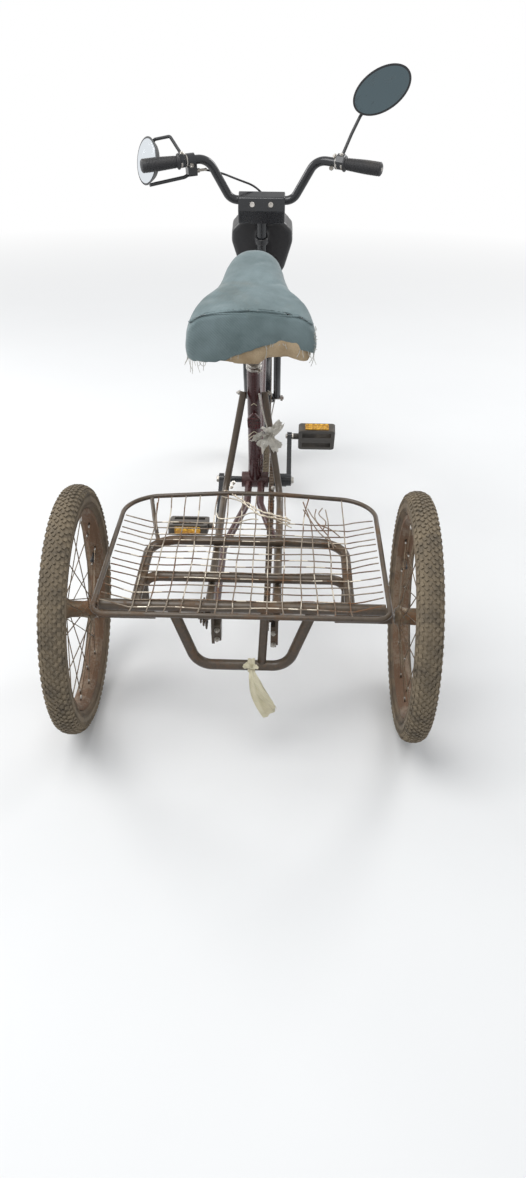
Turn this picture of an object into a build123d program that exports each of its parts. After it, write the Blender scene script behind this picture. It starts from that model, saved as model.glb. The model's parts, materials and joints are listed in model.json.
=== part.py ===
from build123d import *
import os
from math import acos, atan2, cos, pi, radians, sin, sqrt, tan

# Pedal cargo tricycle: bicycle front end, two spoked rear wheels on one axle,
# a shallow wire carrier above the axle and a wide sprung saddle.
# Millimetres. +Y forward, +X to the rider's right, +Z up.
# The origin is on the ground, halfway between the front and rear axles.
os.makedirs("parts", exist_ok=True)

# Overall layout
wheelbase = 1240.0
track = 690.0
rear_y = -wheelbase / 2
front_y = wheelbase / 2

# Wheels, the same at all three places
rim_outer_radius = 208.0
rim_depth = 15.0
rim_width = 34.0
rim_lip = 8.0
rim_seat_gap = 0.2
tyre_width = 50.0
tyre_height = 48.8
spoke_count = 28
spoke_radius = 1.1
spoke_sweep = 62.0
flange_radius = 22.0
flange_thickness = 3.0
rear_flange_spacing = 56.0
front_flange_spacing = 46.0
hub_radius = 15.0
running_gap = 0.05
seat_gap = 0.3

# Front and rear axles, and the rear axle's housings
front_axle_radius = 4.75
front_hub_length = 60.0
axle_radius = 7.5
axle_overhang = 60.0
nut_radius = 12.0
nut_length = 8.0
rear_hub_length = 76.0
axle_tube_radius = 17.0
axle_tube_wall = 3.0
axle_tube_inner = 185.0
hub_side_gap = 5.0
bearing_length = 14.0

# Bottom bracket, cranks and pedals, placed from the rear axle
crank_forward = 590.0
crank_up = 23.0
crank_length = 160.0
crank_angle = 21.5
crank_inner = 80.0
crank_thickness = 12.0
spindle_radius = 8.0
boss_radius = 17.0
shell_radius = 20.0
shell_half = 34.0
pedal_spindle_radius = 5.0
pedal_width = 96.0
pedal_length = 84.0
pedal_height = 25.0
pedal_side_gap = 18.0

# Chain drive
chain_pitch = 12.7
chain_x = 44.0
ring_teeth = 40
cog_teeth = 16
plate_height = 8.6
plate_thickness = 1.4
roller_length = 5.0
roller_radius = 3.6
disc_thickness = 3.0

# Frame tubes
seat_angle = 68.0
seat_tube_radius = 15.9
seat_tube_length = 388.0
post_radius = 12.7
post_depth = 118.0
post_reach = 110.0
down_tube_radius = 19.0
top_tube_radius = 12.7
top_tube_place = 172.0
chain_stay_radius = 9.0
hanger_half = 66.0
hanger_thickness = 6.0
hanger_front = 26.0
hanger_drop = 70.0

# Saddle
saddle_front_rise = 0.279
saddle_rear = 141.0
saddle_rear_top = 61.0
saddle_pocket_top = 6.0
spring_low = -36.0
spring_x = 52.0
spring_back = 97.0
spring_radius = 15.0
spring_coils = 3
rail_radius = 3.5

# Steering
head_angle = 71.0
fork_offset = 34.0
steerer_radius = 12.7
head_tube_radius = 18.0
head_tube_length = 150.0
guard_clearance = 11.0
guard_thickness = 1.6
guard_half = 29.0
crown_above_guard = 32.0
crown_height = 24.0
blade_half = 46.0
blade_radius = 11.0
end_thickness = 6.0

# Handlebar and what it carries
bar_radius = 11.1
bar_forward = 14.2
bar_above_head = 191.0
bar_flat_half = 81.0
bar_bend_half = 138.0
bar_bend_forward = 19.3
bar_bend_rise = 100.0
bar_tip_half = 296.0
bar_tip_back = 62.6
bar_tip_rise = 8.9
clamp_half = 61.0
clamp_drop = 48.0
grip_radius = 17.0
grip_neck_radius = 14.5
grip_length = 97.0
lamp_back = 24.0
lamp_depth = 62.0
lamp_height = 177.0
lamp_below_clamp = 21.0

# Carrier frame, placed from the rear axle
carrier_tube_radius = 10.0
carrier_up = 94.0
arch_half_width = 205.0
arch_front = 133.0
portal_front = -17.0
portal_foot = 12.5
rear_bar_front = -124.0
rear_bar_half = 272.0
rear_bar_radius = 11.0
stay_radius = 8.0
stay_half = 66.0
stay_bend_front = 385.0
stay_top = 298.0
hoop_radius = 10.5
hoop_up = -42.0
hoop_top_half = 136.0
hoop_bottom_half = 88.0
strut_radius = 8.5
brace_radius = 4.5

# Wire carrier
rim_tube_radius = 5.0
rim_half_width = 275.0
rim_front = 277.0
rim_rear = -198.0
rim_front_bend = 75.0
rim_rear_bend = 28.0
rim_up = 121.0
rim_rise = 15.0
rim_rise_half = 55.0
wire = 2.6
floor_half = 212.0
floor_front = 192.0
floor_rear = -152.0
cross_wire_count = 14
cross_wire_pitch = 26.0
long_wire_count = 14
long_wire_pitch = 31.5

# Sizes that follow from those above
rim_inner_radius = rim_outer_radius - rim_depth
tyre_seat = rim_outer_radius + rim_seat_gap
tyre_radius = tyre_seat + tyre_height
axle_z = tyre_radius
guard_radius = tyre_radius + guard_clearance
crown_up = guard_radius + crown_above_guard
head_tube_low = crown_up + crown_height + 6
head_tube_high = head_tube_low + head_tube_length
bar_up = head_tube_high + bar_above_head
clamp_low = bar_up - clamp_drop
lamp_high = clamp_low - lamp_below_clamp
lamp_low = lamp_high - lamp_height
stay_up = carrier_up - rear_bar_radius - stay_radius - seat_gap
hanger_top = stay_up - stay_radius - seat_gap
floor_up = carrier_up + rear_bar_radius + seat_gap

seat_dir = Vector(0, -cos(radians(seat_angle)), sin(radians(seat_angle)))
seat_back = Vector(0, -sin(radians(seat_angle)), -cos(radians(seat_angle)))
crank_centre = Vector(0, rear_y + crank_forward, axle_z + crank_up)
seat_point = crank_centre + seat_dir * (seat_tube_length + post_reach)
front_centre = Vector(0, front_y, axle_z)
steer_dir = Vector(0, -cos(radians(head_angle)), sin(radians(head_angle)))
steer_forward = Vector(0, sin(radians(head_angle)), cos(radians(head_angle)))
steer_base = front_centre - steer_forward * fork_offset
steer = Plane(origin=steer_base, x_dir=(1, 0, 0), z_dir=steer_dir)
rear_side = Plane(origin=(0, rear_y, axle_z), x_dir=(0, 1, 0), z_dir=(1, 0, 0))
crank_side = Plane(origin=crank_centre, x_dir=(0, 1, 0), z_dir=(1, 0, 0))
front_side = Plane(origin=front_centre, x_dir=(0, 1, 0), z_dir=(1, 0, 0))


def at_rear(x, forward, up):
    """A point given from the middle of the rear axle."""
    return Vector(x, rear_y + forward, axle_z + up)


def at_seat(x, forward, up):
    """A point given from the top of the seat post."""
    return seat_point + Vector(x, forward, up)


def on_seat_tube(along, x=0.0, behind=0.0):
    """A point along the seat tube from the cranks, or beside or behind it."""
    return crank_centre + seat_dir * along + seat_back * behind + Vector(x, 0, 0)


def steered(x, forward, up):
    """A point given along and beside the steering axis."""
    return steer_base + Vector(x, 0, 0) + steer_forward * forward + steer_dir * up


def pipe(points, radius, bends=None, closed=False):
    """Adds a round tube or rod that follows straight runs and arcs."""
    with BuildLine() as route:
        if bends is None:
            Polyline(*points)
        else:
            FilletPolyline(*points, radius=bends, close=closed)
    start = Plane(origin=route.line @ 0, z_dir=route.line % 0)
    with BuildSketch(start) as section:
        Circle(radius)
    sweep(section.sketch, path=route.line)


def rod(plane, start, end, radius):
    """Adds a round rod between two distances along a plane's normal."""
    with BuildSketch(plane.offset(start)) as section:
        Circle(radius)
    extrude(section.sketch, amount=end - start)


def bore(plane, start, end, radius):
    """Cuts a round hole between two distances along a plane's normal."""
    with BuildSketch(plane.offset(start)) as section:
        Circle(radius)
    extrude(section.sketch, amount=end - start, mode=Mode.SUBTRACT)


def save(part, name):
    part.label = name
    export_step(part, f"parts/{name}.step")


# Wheels
def wheel_set(prefix, centre, hub_length, bore_radius, flange_spacing):
    """Tyre, rim and laced hub of one wheel, its axle along X."""
    side = Plane(origin=centre, x_dir=(0, 1, 0), z_dir=(1, 0, 0))
    section = Plane(origin=centre, x_dir=(1, 0, 0), z_dir=(0, -1, 0))
    spin = Axis(centre, (1, 0, 0))
    half = tyre_width / 2
    with BuildPart() as tyre:
        with BuildSketch(section):
            with BuildLine():
                Polyline(
                    (-half * 0.56, tyre_seat),
                    (-half, tyre_seat + tyre_height * 0.42),
                    (-half * 0.86, tyre_radius - half * 0.38),
                    (-half * 0.34, tyre_radius),
                    (half * 0.34, tyre_radius),
                    (half * 0.86, tyre_radius - half * 0.38),
                    (half, tyre_seat + tyre_height * 0.42),
                    (half * 0.56, tyre_seat),
                    close=True,
                )
            make_face()
        revolve(axis=spin)
    save(tyre.part, f"{prefix}_tyre")

    with BuildPart() as rim:
        with BuildSketch(section):
            with BuildLine():
                Polyline(
                    (-rim_width / 2, rim_outer_radius),
                    (-rim_width / 2, rim_outer_radius - rim_lip),
                    (-rim_width / 4, rim_inner_radius),
                    (rim_width / 4, rim_inner_radius),
                    (rim_width / 2, rim_outer_radius - rim_lip),
                    (rim_width / 2, rim_outer_radius),
                    close=True,
                )
            make_face()
        revolve(axis=spin)
    save(rim.part, f"{prefix}_rim")

    # Crossed spokes: each leaves its flange ahead of or behind its place on the rim
    spoke_end = rim_inner_radius - seat_gap
    reach = flange_radius - flange_thickness
    planes = []
    for index in range(spoke_count):
        side_sign = 1 if index % 2 else -1
        lean = 1 if (index // 2) % 2 else -1
        rim_angle = 2 * pi * index / spoke_count
        hub_angle = rim_angle + lean * radians(spoke_sweep)
        flange_x = side_sign * flange_spacing / 2
        rim_x = side_sign * rim_width / 8
        start = centre + Vector(flange_x, reach * cos(hub_angle), reach * sin(hub_angle))
        end = centre + Vector(rim_x, spoke_end * cos(rim_angle), spoke_end * sin(rim_angle))
        spoke_length = (end - start).length
        planes.append(Plane(origin=start, z_dir=end - start))
    with BuildPart() as hub:
        rod(side, -hub_length / 2, hub_length / 2, hub_radius)
        for x in (-flange_spacing / 2, flange_spacing / 2):
            rod(side, x - flange_thickness / 2, x + flange_thickness / 2, flange_radius)
        with BuildSketch(*planes):
            RegularPolygon(spoke_radius, 6)
        extrude(amount=spoke_length)
        bore(side, -hub_length / 2, hub_length / 2, bore_radius)
    save(hub.part, f"{prefix}_hub")


front_bore = front_axle_radius + running_gap
wheel_set("front", front_centre, front_hub_length, front_bore, front_flange_spacing)
for name, x in (("left", -track / 2), ("right", track / 2)):
    centre = Vector(x, rear_y, axle_z)
    rear_bore = axle_radius + running_gap
    wheel_set(f"{name}_rear", centre, rear_hub_length, rear_bore, rear_flange_spacing)

# Rear axle: a shaft through both hubs, with a nut outside each
axle_end = track / 2 + axle_overhang
nut_start = track / 2 + rear_hub_length / 2
with BuildPart() as rear_axle:
    rod(rear_side, -axle_end, axle_end, axle_radius)
    for x in (nut_start, -nut_start - nut_length):
        with BuildSketch(rear_side.offset(x)):
            RegularPolygon(nut_radius, 6)
        extrude(amount=nut_length)
save(rear_axle.part, "rear_axle")


# Chain wheels
def pitch_radius(teeth):
    return chain_pitch / (2 * sin(pi / teeth))


def toothed_disc(plane, teeth, thickness, hole, tip):
    """Adds a sprocket whose teeth stay inside the chain's rollers."""
    root = pitch_radius(teeth) - roller_radius - running_gap * 12 - tip
    with BuildSketch(plane) as disc:
        Circle(root)
        with PolarLocations(root - 0.5, teeth):
            with Locations((tip / 2, 0)):
                Rectangle(tip, chain_pitch * 0.34)
        Circle(hole, mode=Mode.SUBTRACT)
    extrude(disc.sketch, amount=thickness)


def collar(plane, start, end, radius, hole):
    """Adds a ring between two distances along a plane's normal."""
    with BuildSketch(plane.offset(start)) as ring:
        Circle(radius)
        Circle(hole, mode=Mode.SUBTRACT)
    extrude(ring.sketch, amount=end - start)


disc_start = chain_x - disc_thickness / 2
disc_end = chain_x + disc_thickness / 2
with BuildPart() as axle_sprocket:
    toothed_disc(rear_side.offset(disc_start), cog_teeth, disc_thickness, axle_radius, 3)
    collar(rear_side, disc_end, disc_end + 11, 19, axle_radius)
save(axle_sprocket.part, "axle_sprocket")

cog_spacing = 6.0
cog_thickness = 2.4
cog_table = (20, 17, 14)
with BuildPart() as idle_cogs:
    for index, teeth in enumerate(cog_table):
        x = -hanger_half - 8 - cog_spacing * (index + 1)
        toothed_disc(rear_side.offset(x), teeth, cog_thickness, axle_radius, 4)
    collar(rear_side, -hanger_half - 30, -hanger_half - 8, 16, axle_radius)
save(idle_cogs.part, "idle_cogs")

# Drive chain: one fixed loop of side plates and rollers round both wheels
ring_radius = pitch_radius(ring_teeth)
cog_radius = pitch_radius(cog_teeth)
centre_distance = sqrt(crank_forward**2 + crank_up**2)
chain_tilt = atan2(crank_up, crank_forward)
wrap = acos((ring_radius - cog_radius) / centre_distance)


def chain_loop(offset):
    """The loop's outline in the chain's plane, moved outwards by offset."""
    axle_spot = Vector(0, 0)
    crank_spot = Vector(crank_forward, crank_up)
    big = ring_radius + offset
    small = cog_radius + offset
    upper = Vector(cos(chain_tilt + wrap), sin(chain_tilt + wrap))
    lower = Vector(cos(chain_tilt - wrap), sin(chain_tilt - wrap))
    ahead = Vector(cos(chain_tilt), sin(chain_tilt))
    with BuildLine() as outline:
        Line(axle_spot + upper * small, crank_spot + upper * big)
        ThreePointArc(crank_spot + upper * big, crank_spot + ahead * big, crank_spot + lower * big)
        Line(crank_spot + lower * big, axle_spot + lower * small)
        ThreePointArc(axle_spot + lower * small, axle_spot - ahead * small, axle_spot + upper * small)
    return outline.line.edges()


with BuildPart() as drive_chain:
    for x in (chain_x - roller_length / 2 - plate_thickness, chain_x + roller_length / 2):
        with BuildSketch(rear_side.offset(x)):
            make_face(chain_loop(plate_height / 2))
            make_face(chain_loop(-plate_height / 2), mode=Mode.SUBTRACT)
        extrude(amount=plate_thickness)
    with BuildSketch(rear_side.offset(chain_x - roller_length / 2)):
        make_face(chain_loop(roller_radius))
        make_face(chain_loop(-roller_radius), mode=Mode.SUBTRACT)
    extrude(amount=roller_length)
save(drive_chain.part, "drive_chain")

# Cranks: the right arm points forward and up, the left arm the other way
arm_dir = Vector(0, cos(radians(crank_angle)), sin(radians(crank_angle)))
with BuildPart() as crank_arms:
    rod(crank_side, -crank_inner, crank_inner, spindle_radius)
    rod(crank_side, disc_end + 0.5, crank_inner, boss_radius)
    for x, way in ((crank_inner, 1), (-crank_inner - crank_thickness, -1)):
        with BuildSketch(crank_side.offset(x)):
            end = (way * crank_length * arm_dir.Y, way * crank_length * arm_dir.Z)
            Circle(15)
            with Locations(end):
                Circle(11)
            with BuildLine():
                Line((0, 0), end)
            trace(line_width=17)
            with Locations(end):
                Circle(pedal_spindle_radius + running_gap, mode=Mode.SUBTRACT)
        extrude(amount=crank_thickness)
save(crank_arms.part, "crank_arms")

with BuildPart() as chainring:
    toothed_disc(crank_side.offset(disc_start), ring_teeth, disc_thickness, spindle_radius, 4)
    with BuildSketch(crank_side.offset(disc_start)):
        with PolarLocations(ring_radius * 0.54, 5):
            Circle(ring_radius * 0.2)
    extrude(amount=disc_thickness, mode=Mode.SUBTRACT)
    collar(crank_side, disc_end, disc_end + 0.5, boss_radius, spindle_radius)
save(chainring.part, "chainring")

# Pedals: side name, way along X, and how far the rear edge is turned up
pedal_start = crank_inner + crank_thickness + pedal_side_gap
pedal_table = [("right", 1, 58.0), ("left", -1, 12.0)]
for name, way, pitch in pedal_table:
    middle = crank_centre + arm_dir * crank_length * way
    centre = middle + Vector(way * (pedal_start + pedal_width / 2), 0, 0)
    side = Plane(origin=middle, x_dir=(0, 1, 0), z_dir=(way, 0, 0))
    top_dir = Vector(0, sin(radians(pitch)), cos(radians(pitch)))
    front_dir = Vector(0, cos(radians(pitch)), -sin(radians(pitch)))
    with BuildPart() as pedal:
        with BuildSketch(Plane(origin=centre, x_dir=(1, 0, 0), z_dir=top_dir)):
            RectangleRounded(pedal_width, pedal_length, 9)
            with Locations((0, pedal_length / 4), (0, -pedal_length / 4)):
                Rectangle(pedal_width - 20, pedal_length / 2 - 22, mode=Mode.SUBTRACT)
        extrude(amount=pedal_height / 2, both=True)
        rod(side, crank_inner, pedal_start + 4, pedal_spindle_radius)
        rod(side, crank_inner + crank_thickness + 5, pedal_start, 8)
    save(pedal.part, f"{name}_pedal")
    with BuildPart() as reflectors:
        for end in (1, -1):
            face = centre + front_dir * (end * pedal_length / 2)
            with BuildSketch(Plane(origin=face, x_dir=(1, 0, 0), z_dir=front_dir * end)):
                Rectangle(62, 17)
            extrude(amount=4)
    save(reflectors.part, f"{name}_pedal_reflectors")

# Main frame: head tube, two sloping tubes, seat tube, bracket shell, chain stays
socket_depth = post_depth + 22.0
with BuildPart() as main_frame:
    rod(steer, head_tube_low, head_tube_high, head_tube_radius)
    pipe([crank_centre, steered(0, 0, head_tube_low + 40)], down_tube_radius)
    pipe([on_seat_tube(top_tube_place), steered(0, 0, head_tube_high - 26)], top_tube_radius)
    pipe([crank_centre, on_seat_tube(seat_tube_length)], seat_tube_radius)
    rod(crank_side, -shell_half, shell_half, shell_radius)
    for way in (-1, 1):
        stay = [
            at_rear(way * 16, crank_forward - 12, crank_up - 2),
            at_rear(way * 16, crank_forward - 110, crank_up - 14),
            at_rear(way * (hanger_half - 2), 300, -17),
            at_rear(way * (hanger_half - 2), hanger_front, -17),
        ]
        pipe(stay, chain_stay_radius, bends=60)
    bore(crank_side, -shell_half, shell_half, spindle_radius + running_gap)
    bore(steer, head_tube_low, head_tube_high, steerer_radius + running_gap)
    seat_top = Plane(origin=on_seat_tube(seat_tube_length), z_dir=seat_dir)
    bore(seat_top, -socket_depth, 1, post_radius + running_gap)
save(main_frame.part, "main_frame")

# Hanger plates: below the carrier stays, at the ends of the chain stays,
# with the axle's inner bearings
with BuildPart() as hanger_plates:
    for way in (-1, 1):
        inner = way * hanger_half - hanger_thickness / 2
        with BuildSketch(rear_side.offset(inner)):
            with BuildLine():
                Polyline(
                    (hanger_front, hanger_top),
                    (hanger_front, -hanger_drop / 2),
                    (6, -hanger_drop),
                    (-14, -hanger_drop),
                    (-24, -hanger_drop / 2),
                    (-24, hanger_top),
                    close=True,
                )
            make_face()
            Circle(axle_radius + running_gap, mode=Mode.SUBTRACT)
        extrude(amount=hanger_thickness)
save(hanger_plates.part, "hanger_plates")

# Rear frame: axle housings, the portal above them, the arch and rear bar
# under the carrier, the guard hoop with its strut, and a brace to the rim
axle_tube_outer = track / 2 - rear_hub_length / 2 - hub_side_gap
housings = [(-axle_tube_outer, -axle_tube_inner), (axle_tube_inner, axle_tube_outer)]
brace_foot = at_rear(-arch_half_width + 17, arch_front - 15, carrier_up)
brace_bend = at_rear(-arch_half_width - 1, floor_front + 8, carrier_up + 4)
brace_top = at_rear(-arch_half_width - 15, rim_front - 8.3, rim_up + 1.8)
with BuildPart() as rear_frame:
    for inner, outer in housings:
        rod(rear_side, inner, outer, axle_tube_radius)
    portal = [
        at_rear(-arch_half_width, 0, portal_foot),
        at_rear(-arch_half_width, portal_front, carrier_up),
        at_rear(arch_half_width, portal_front, carrier_up),
        at_rear(arch_half_width, 0, portal_foot),
    ]
    pipe(portal, carrier_tube_radius, bends=34)
    arch = [
        at_rear(-arch_half_width, rear_bar_front, carrier_up),
        at_rear(-arch_half_width, arch_front, carrier_up),
        at_rear(arch_half_width, arch_front, carrier_up),
        at_rear(arch_half_width, rear_bar_front, carrier_up),
    ]
    pipe(arch, carrier_tube_radius, bends=60)
    bar_ends = [
        at_rear(-rear_bar_half, rear_bar_front, carrier_up),
        at_rear(rear_bar_half, rear_bar_front, carrier_up),
    ]
    pipe(bar_ends, rear_bar_radius)
    hoop = [
        at_rear(-hoop_top_half, rear_bar_front, carrier_up - 1),
        at_rear(-hoop_bottom_half, rear_bar_front, hoop_up),
        at_rear(hoop_bottom_half, rear_bar_front, hoop_up),
        at_rear(hoop_top_half, rear_bar_front, carrier_up - 1),
    ]
    pipe(hoop, hoop_radius, bends=42)
    strut = [
        at_rear(hoop_bottom_half / 2, rear_bar_front, carrier_up),
        at_rear(hoop_bottom_half * 0.43, rear_bar_front, hoop_up),
    ]
    pipe(strut, strut_radius)
    pipe([brace_foot, brace_bend, brace_top], brace_radius, bends=40)
    for inner, outer in housings:
        bore(rear_side, inner, outer, axle_radius + running_gap)
        bore(rear_side, inner + bearing_length, outer - bearing_length, axle_tube_radius - axle_tube_wall)
save(rear_frame.part, "rear_frame")

# Carrier stays from the seat tube down, then back below the arch
with BuildPart() as carrier_stays:
    for way in (-1, 1):
        stay = [
            on_seat_tube(stay_top, way * (seat_tube_radius + stay_radius + seat_gap)),
            at_rear(way * stay_half, stay_bend_front, stay_up),
            at_rear(way * stay_half, rear_bar_front - 6, stay_up),
        ]
        pipe(stay, stay_radius, bends=60)
save(carrier_stays.part, "carrier_stays")

# Carrier rim: one bent tube, pushed up at the middle of its front
with BuildPart() as carrier_rim:
    corners = [
        at_rear(rim_half_width, rim_rear, rim_up),
        at_rear(rim_half_width, rim_front, rim_up),
        at_rear(rim_rise_half, rim_front, rim_up + rim_rise),
        at_rear(-rim_rise_half, rim_front, rim_up + rim_rise),
        at_rear(-rim_half_width, rim_front, rim_up),
        at_rear(-rim_half_width, rim_rear, rim_up),
    ]
    rise_bend = rim_front_bend * 2
    rim_bends = [rim_rear_bend, rim_front_bend, rise_bend, rise_bend, rim_front_bend, rim_rear_bend]
    pipe(corners, rim_tube_radius, bends=rim_bends, closed=True)
save(carrier_rim.part, "carrier_rim")


# Carrier mesh: cross wires below, long wires on top, both rising to the rim
def wire_path(plane, points):
    """Adds one bent wire drawn in a plane."""
    with BuildSketch(plane) as section:
        with BuildLine():
            Polyline(*points)
        trace(line_width=wire)
    extrude(section.sketch, amount=wire / 2, both=True)


wire_end = rim_tube_radius + seat_gap
side_rise = rim_up - floor_up - wire / 2
cross_first = -cross_wire_pitch * (cross_wire_count - 1) / 2 + (floor_front + floor_rear) / 2
long_first = -long_wire_pitch * (long_wire_count - 1) / 2
with BuildPart() as carrier_mesh:
    for index in range(cross_wire_count):
        station = at_rear(0, cross_first + cross_wire_pitch * index, floor_up)
        cross_points = [
            (-rim_half_width + wire_end, side_rise),
            (-floor_half, wire / 2),
            (floor_half, wire / 2),
            (rim_half_width - wire_end, side_rise),
        ]
        wire_path(Plane(origin=station, x_dir=(1, 0, 0), z_dir=(0, -1, 0)), cross_points)
    for index in range(long_wire_count):
        x = long_first + long_wire_pitch * index
        run = rim_half_width - rim_rise_half
        front_rise = rim_rise * min(1.0, (rim_half_width - abs(x)) / run)
        long_points = [
            (rim_rear + wire_end, side_rise),
            (floor_rear, wire * 1.5),
            (floor_front, wire * 1.5),
            (rim_front - wire_end, side_rise + front_rise),
        ]
        wire_path(Plane(origin=at_rear(x, 0, floor_up), x_dir=(0, 1, 0), z_dir=(1, 0, 0)), long_points)
save(carrier_mesh.part, "carrier_mesh")

# Seat post and saddle
with BuildPart() as seat_post:
    rod(seat_top, -post_depth, post_reach, post_radius)
save(seat_post.part, "seat_post")

# Saddle sections: forward of the seat post, half width, underside; the top is one slope
saddle_table = [
    (-saddle_rear, 126.0, -50.0),
    (-saddle_rear + 25, 134.0, -48.0),
    (-saddle_rear + 61, 126.0, -22.0),
    (-saddle_rear + 103, 78.0, 22.0),
    (-saddle_rear + 191, 55.0, 50.0),
    (-saddle_rear + 245, 42.0, 82.0),
    (-saddle_rear + 263, 24.0, 97.0),
]
with BuildPart() as saddle:
    for forward, half, low in saddle_table:
        top = saddle_rear_top + saddle_front_rise * (forward + saddle_rear)
        with BuildSketch(Plane(origin=at_seat(0, forward, 0), x_dir=(1, 0, 0), z_dir=(0, -1, 0))):
            with BuildLine():
                Polyline(
                    (-half, low),
                    (-half, low * 0.45 + top * 0.55),
                    (-half * 0.86, low * 0.12 + top * 0.88),
                    (-half * 0.5, top),
                    (half * 0.5, top),
                    (half * 0.86, low * 0.12 + top * 0.88),
                    (half, low * 0.45 + top * 0.55),
                    (half, low),
                    close=True,
                )
            make_face()
    loft(ruled=True)
    with BuildSketch(Plane(origin=at_seat(0, 0, -saddle_rear), x_dir=(1, 0, 0), z_dir=(0, 0, 1))):
        with BuildLine():
            Polyline(
                (-110, -saddle_rear + 10),
                (110, -saddle_rear + 10),
                (122, -saddle_rear + 28),
                (70, -saddle_rear + 88),
                (-70, -saddle_rear + 88),
                (-122, -saddle_rear + 28),
                close=True,
            )
        make_face()
    extrude(amount=saddle_rear + saddle_pocket_top, mode=Mode.SUBTRACT)
save(saddle.part, "saddle")

# Saddle frame: post clamp, two rails and two coil springs
clamp_plane = Plane(origin=seat_point - seat_dir * 24, z_dir=seat_dir)
spring_pitch = (saddle_pocket_top - seat_gap - spring_low) / spring_coils
with BuildPart() as saddle_frame:
    rod(clamp_plane, 0, 24, 18)
    rod(Plane(origin=at_seat(0, 5, -4), x_dir=(0, 1, 0), z_dir=(1, 0, 0)), -34, 34, 5)
    bore(clamp_plane, 0, 60, post_radius + running_gap)
    for way in (-1, 1):
        rail = [
            at_seat(way * spring_x, -spring_back, spring_low - 3),
            at_seat(way * 34, -44, spring_low),
            at_seat(way * 30, 1.6, -4),
            at_seat(way * 12, 65, 48),
        ]
        pipe(rail, rail_radius, bends=20)
        spring_foot = at_seat(way * spring_x, -spring_back, spring_low)
        with BuildSketch(Plane(origin=spring_foot, x_dir=(0, 1, 0), z_dir=(1, 0, 0))) as outline:
            with BuildLine():
                steps = [(0, 0)]
                for coil in range(spring_coils):
                    steps.append((spring_radius - 4, coil * spring_pitch))
                    steps.append((spring_radius, (coil + 0.5) * spring_pitch))
                steps.append((spring_radius - 4, spring_coils * spring_pitch))
                steps.append((0, spring_coils * spring_pitch))
                Polyline(*steps, close=True)
            make_face()
        revolve(outline.sketch, axis=Axis(spring_foot, (0, 0, 1)))
save(saddle_frame.part, "saddle_frame")

# Fork: steerer, crown, two curved blades and axle ends
end_start = front_hub_length / 2 + 1
with BuildPart() as fork:
    with BuildSketch(steer.offset(crown_up - crown_height / 2)):
        RectangleRounded(2 * blade_half + 26, 40, 12)
    extrude(amount=crown_height)
    rod(steer, crown_up, clamp_low, steerer_radius)
    for way in (-1, 1):
        blade = [
            steered(way * blade_half, 0, crown_up),
            steered(way * blade_half, 0, crown_up * 0.4),
            steered(way * blade_half, fork_offset, 8),
        ]
        pipe(blade, blade_radius, bends=150)
        near = way * end_start
        rod(front_side, min(near, near + way * end_thickness), max(near, near + way * end_thickness), 14)
    bore(front_side, -70, 70, front_axle_radius + running_gap)
save(fork.part, "fork")

axle_nut_start = blade_half + blade_radius + seat_gap
front_nut_length = 7.0
with BuildPart() as front_axle:
    rod(front_side, -axle_nut_start - 10, axle_nut_start + 10, front_axle_radius)
    for x in (axle_nut_start, -axle_nut_start - front_nut_length):
        with BuildSketch(front_side.offset(x)):
            RegularPolygon(9, 6)
        extrude(amount=front_nut_length)
save(front_axle.part, "front_axle")

# Front mudguard: a curved band held by the crown, from ahead of the fork to the rear
reach = guard_radius * 2
with BuildPart() as front_mudguard:
    with BuildSketch(front_side.offset(-guard_half)):
        Circle(guard_radius + guard_thickness)
        Circle(guard_radius, mode=Mode.SUBTRACT)
        with BuildLine():
            cut = [(0, 0), (reach, reach * 0.82), (0, reach), (-reach, reach), (-reach, -reach * 0.15)]
            Polyline(*cut, close=True)
        make_face(mode=Mode.INTERSECT)
    extrude(amount=2 * guard_half)
    with BuildSketch(steer.offset(guard_radius - 4)):
        Rectangle(26, 5)
    extrude(amount=crown_above_guard - crown_height / 2 - seat_gap + 4)
    bore(front_side, -guard_half, guard_half, guard_radius - 0.01)
save(front_mudguard.part, "front_mudguard")

# Handlebar and its clamp
flat_end = (bar_flat_half, bar_forward, bar_up)
bend_end = (bar_bend_half, bar_forward + bar_bend_forward, bar_up + bar_bend_rise)
tip_end = (bar_tip_half, bend_end[1] - bar_tip_back, bend_end[2] + bar_tip_rise)
bar_points = [steered(-x, forward, up) for x, forward, up in (tip_end, bend_end, flat_end)]
bar_points += [steered(*point) for point in (flat_end, bend_end, tip_end)]
with BuildPart() as handlebar:
    pipe(bar_points, bar_radius, bends=[45, 32, 32, 45])
save(handlebar.part, "handlebar")

bar_centre = steered(0, bar_forward, bar_up)
bar_plane = Plane(origin=bar_centre, x_dir=steer_forward, z_dir=(1, 0, 0))
with BuildPart() as bar_clamp:
    with BuildSketch(bar_plane.offset(-clamp_half)):
        with BuildLine():
            Polyline((-34, -clamp_drop), (17, -clamp_drop), (17, 15), (-15, 15), (-34, -14), close=True)
        make_face()
        Circle(bar_radius + running_gap, mode=Mode.SUBTRACT)
    extrude(amount=2 * clamp_half)
save(bar_clamp.part, "bar_clamp")


def on_grip_line(way, x, up=0.0, forward=0.0):
    """A point on the straight end of the bar, or above or ahead of it."""
    share = (bar_tip_half - x) / (bar_tip_half - bar_bend_half)
    tip = steered(way * bar_tip_half, tip_end[1], tip_end[2])
    bend = steered(way * bar_bend_half, bend_end[1], bend_end[2])
    return tip + (bend - tip) * share + Vector(0, forward, up)


def bar_section(way, x):
    """A plane across the straight end of the bar, facing its middle."""
    inward = (on_grip_line(way, x - 10) - on_grip_line(way, x)).normalized()
    return Plane(origin=on_grip_line(way, x), x_dir=(0, 0, 1), z_dir=inward)


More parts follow.
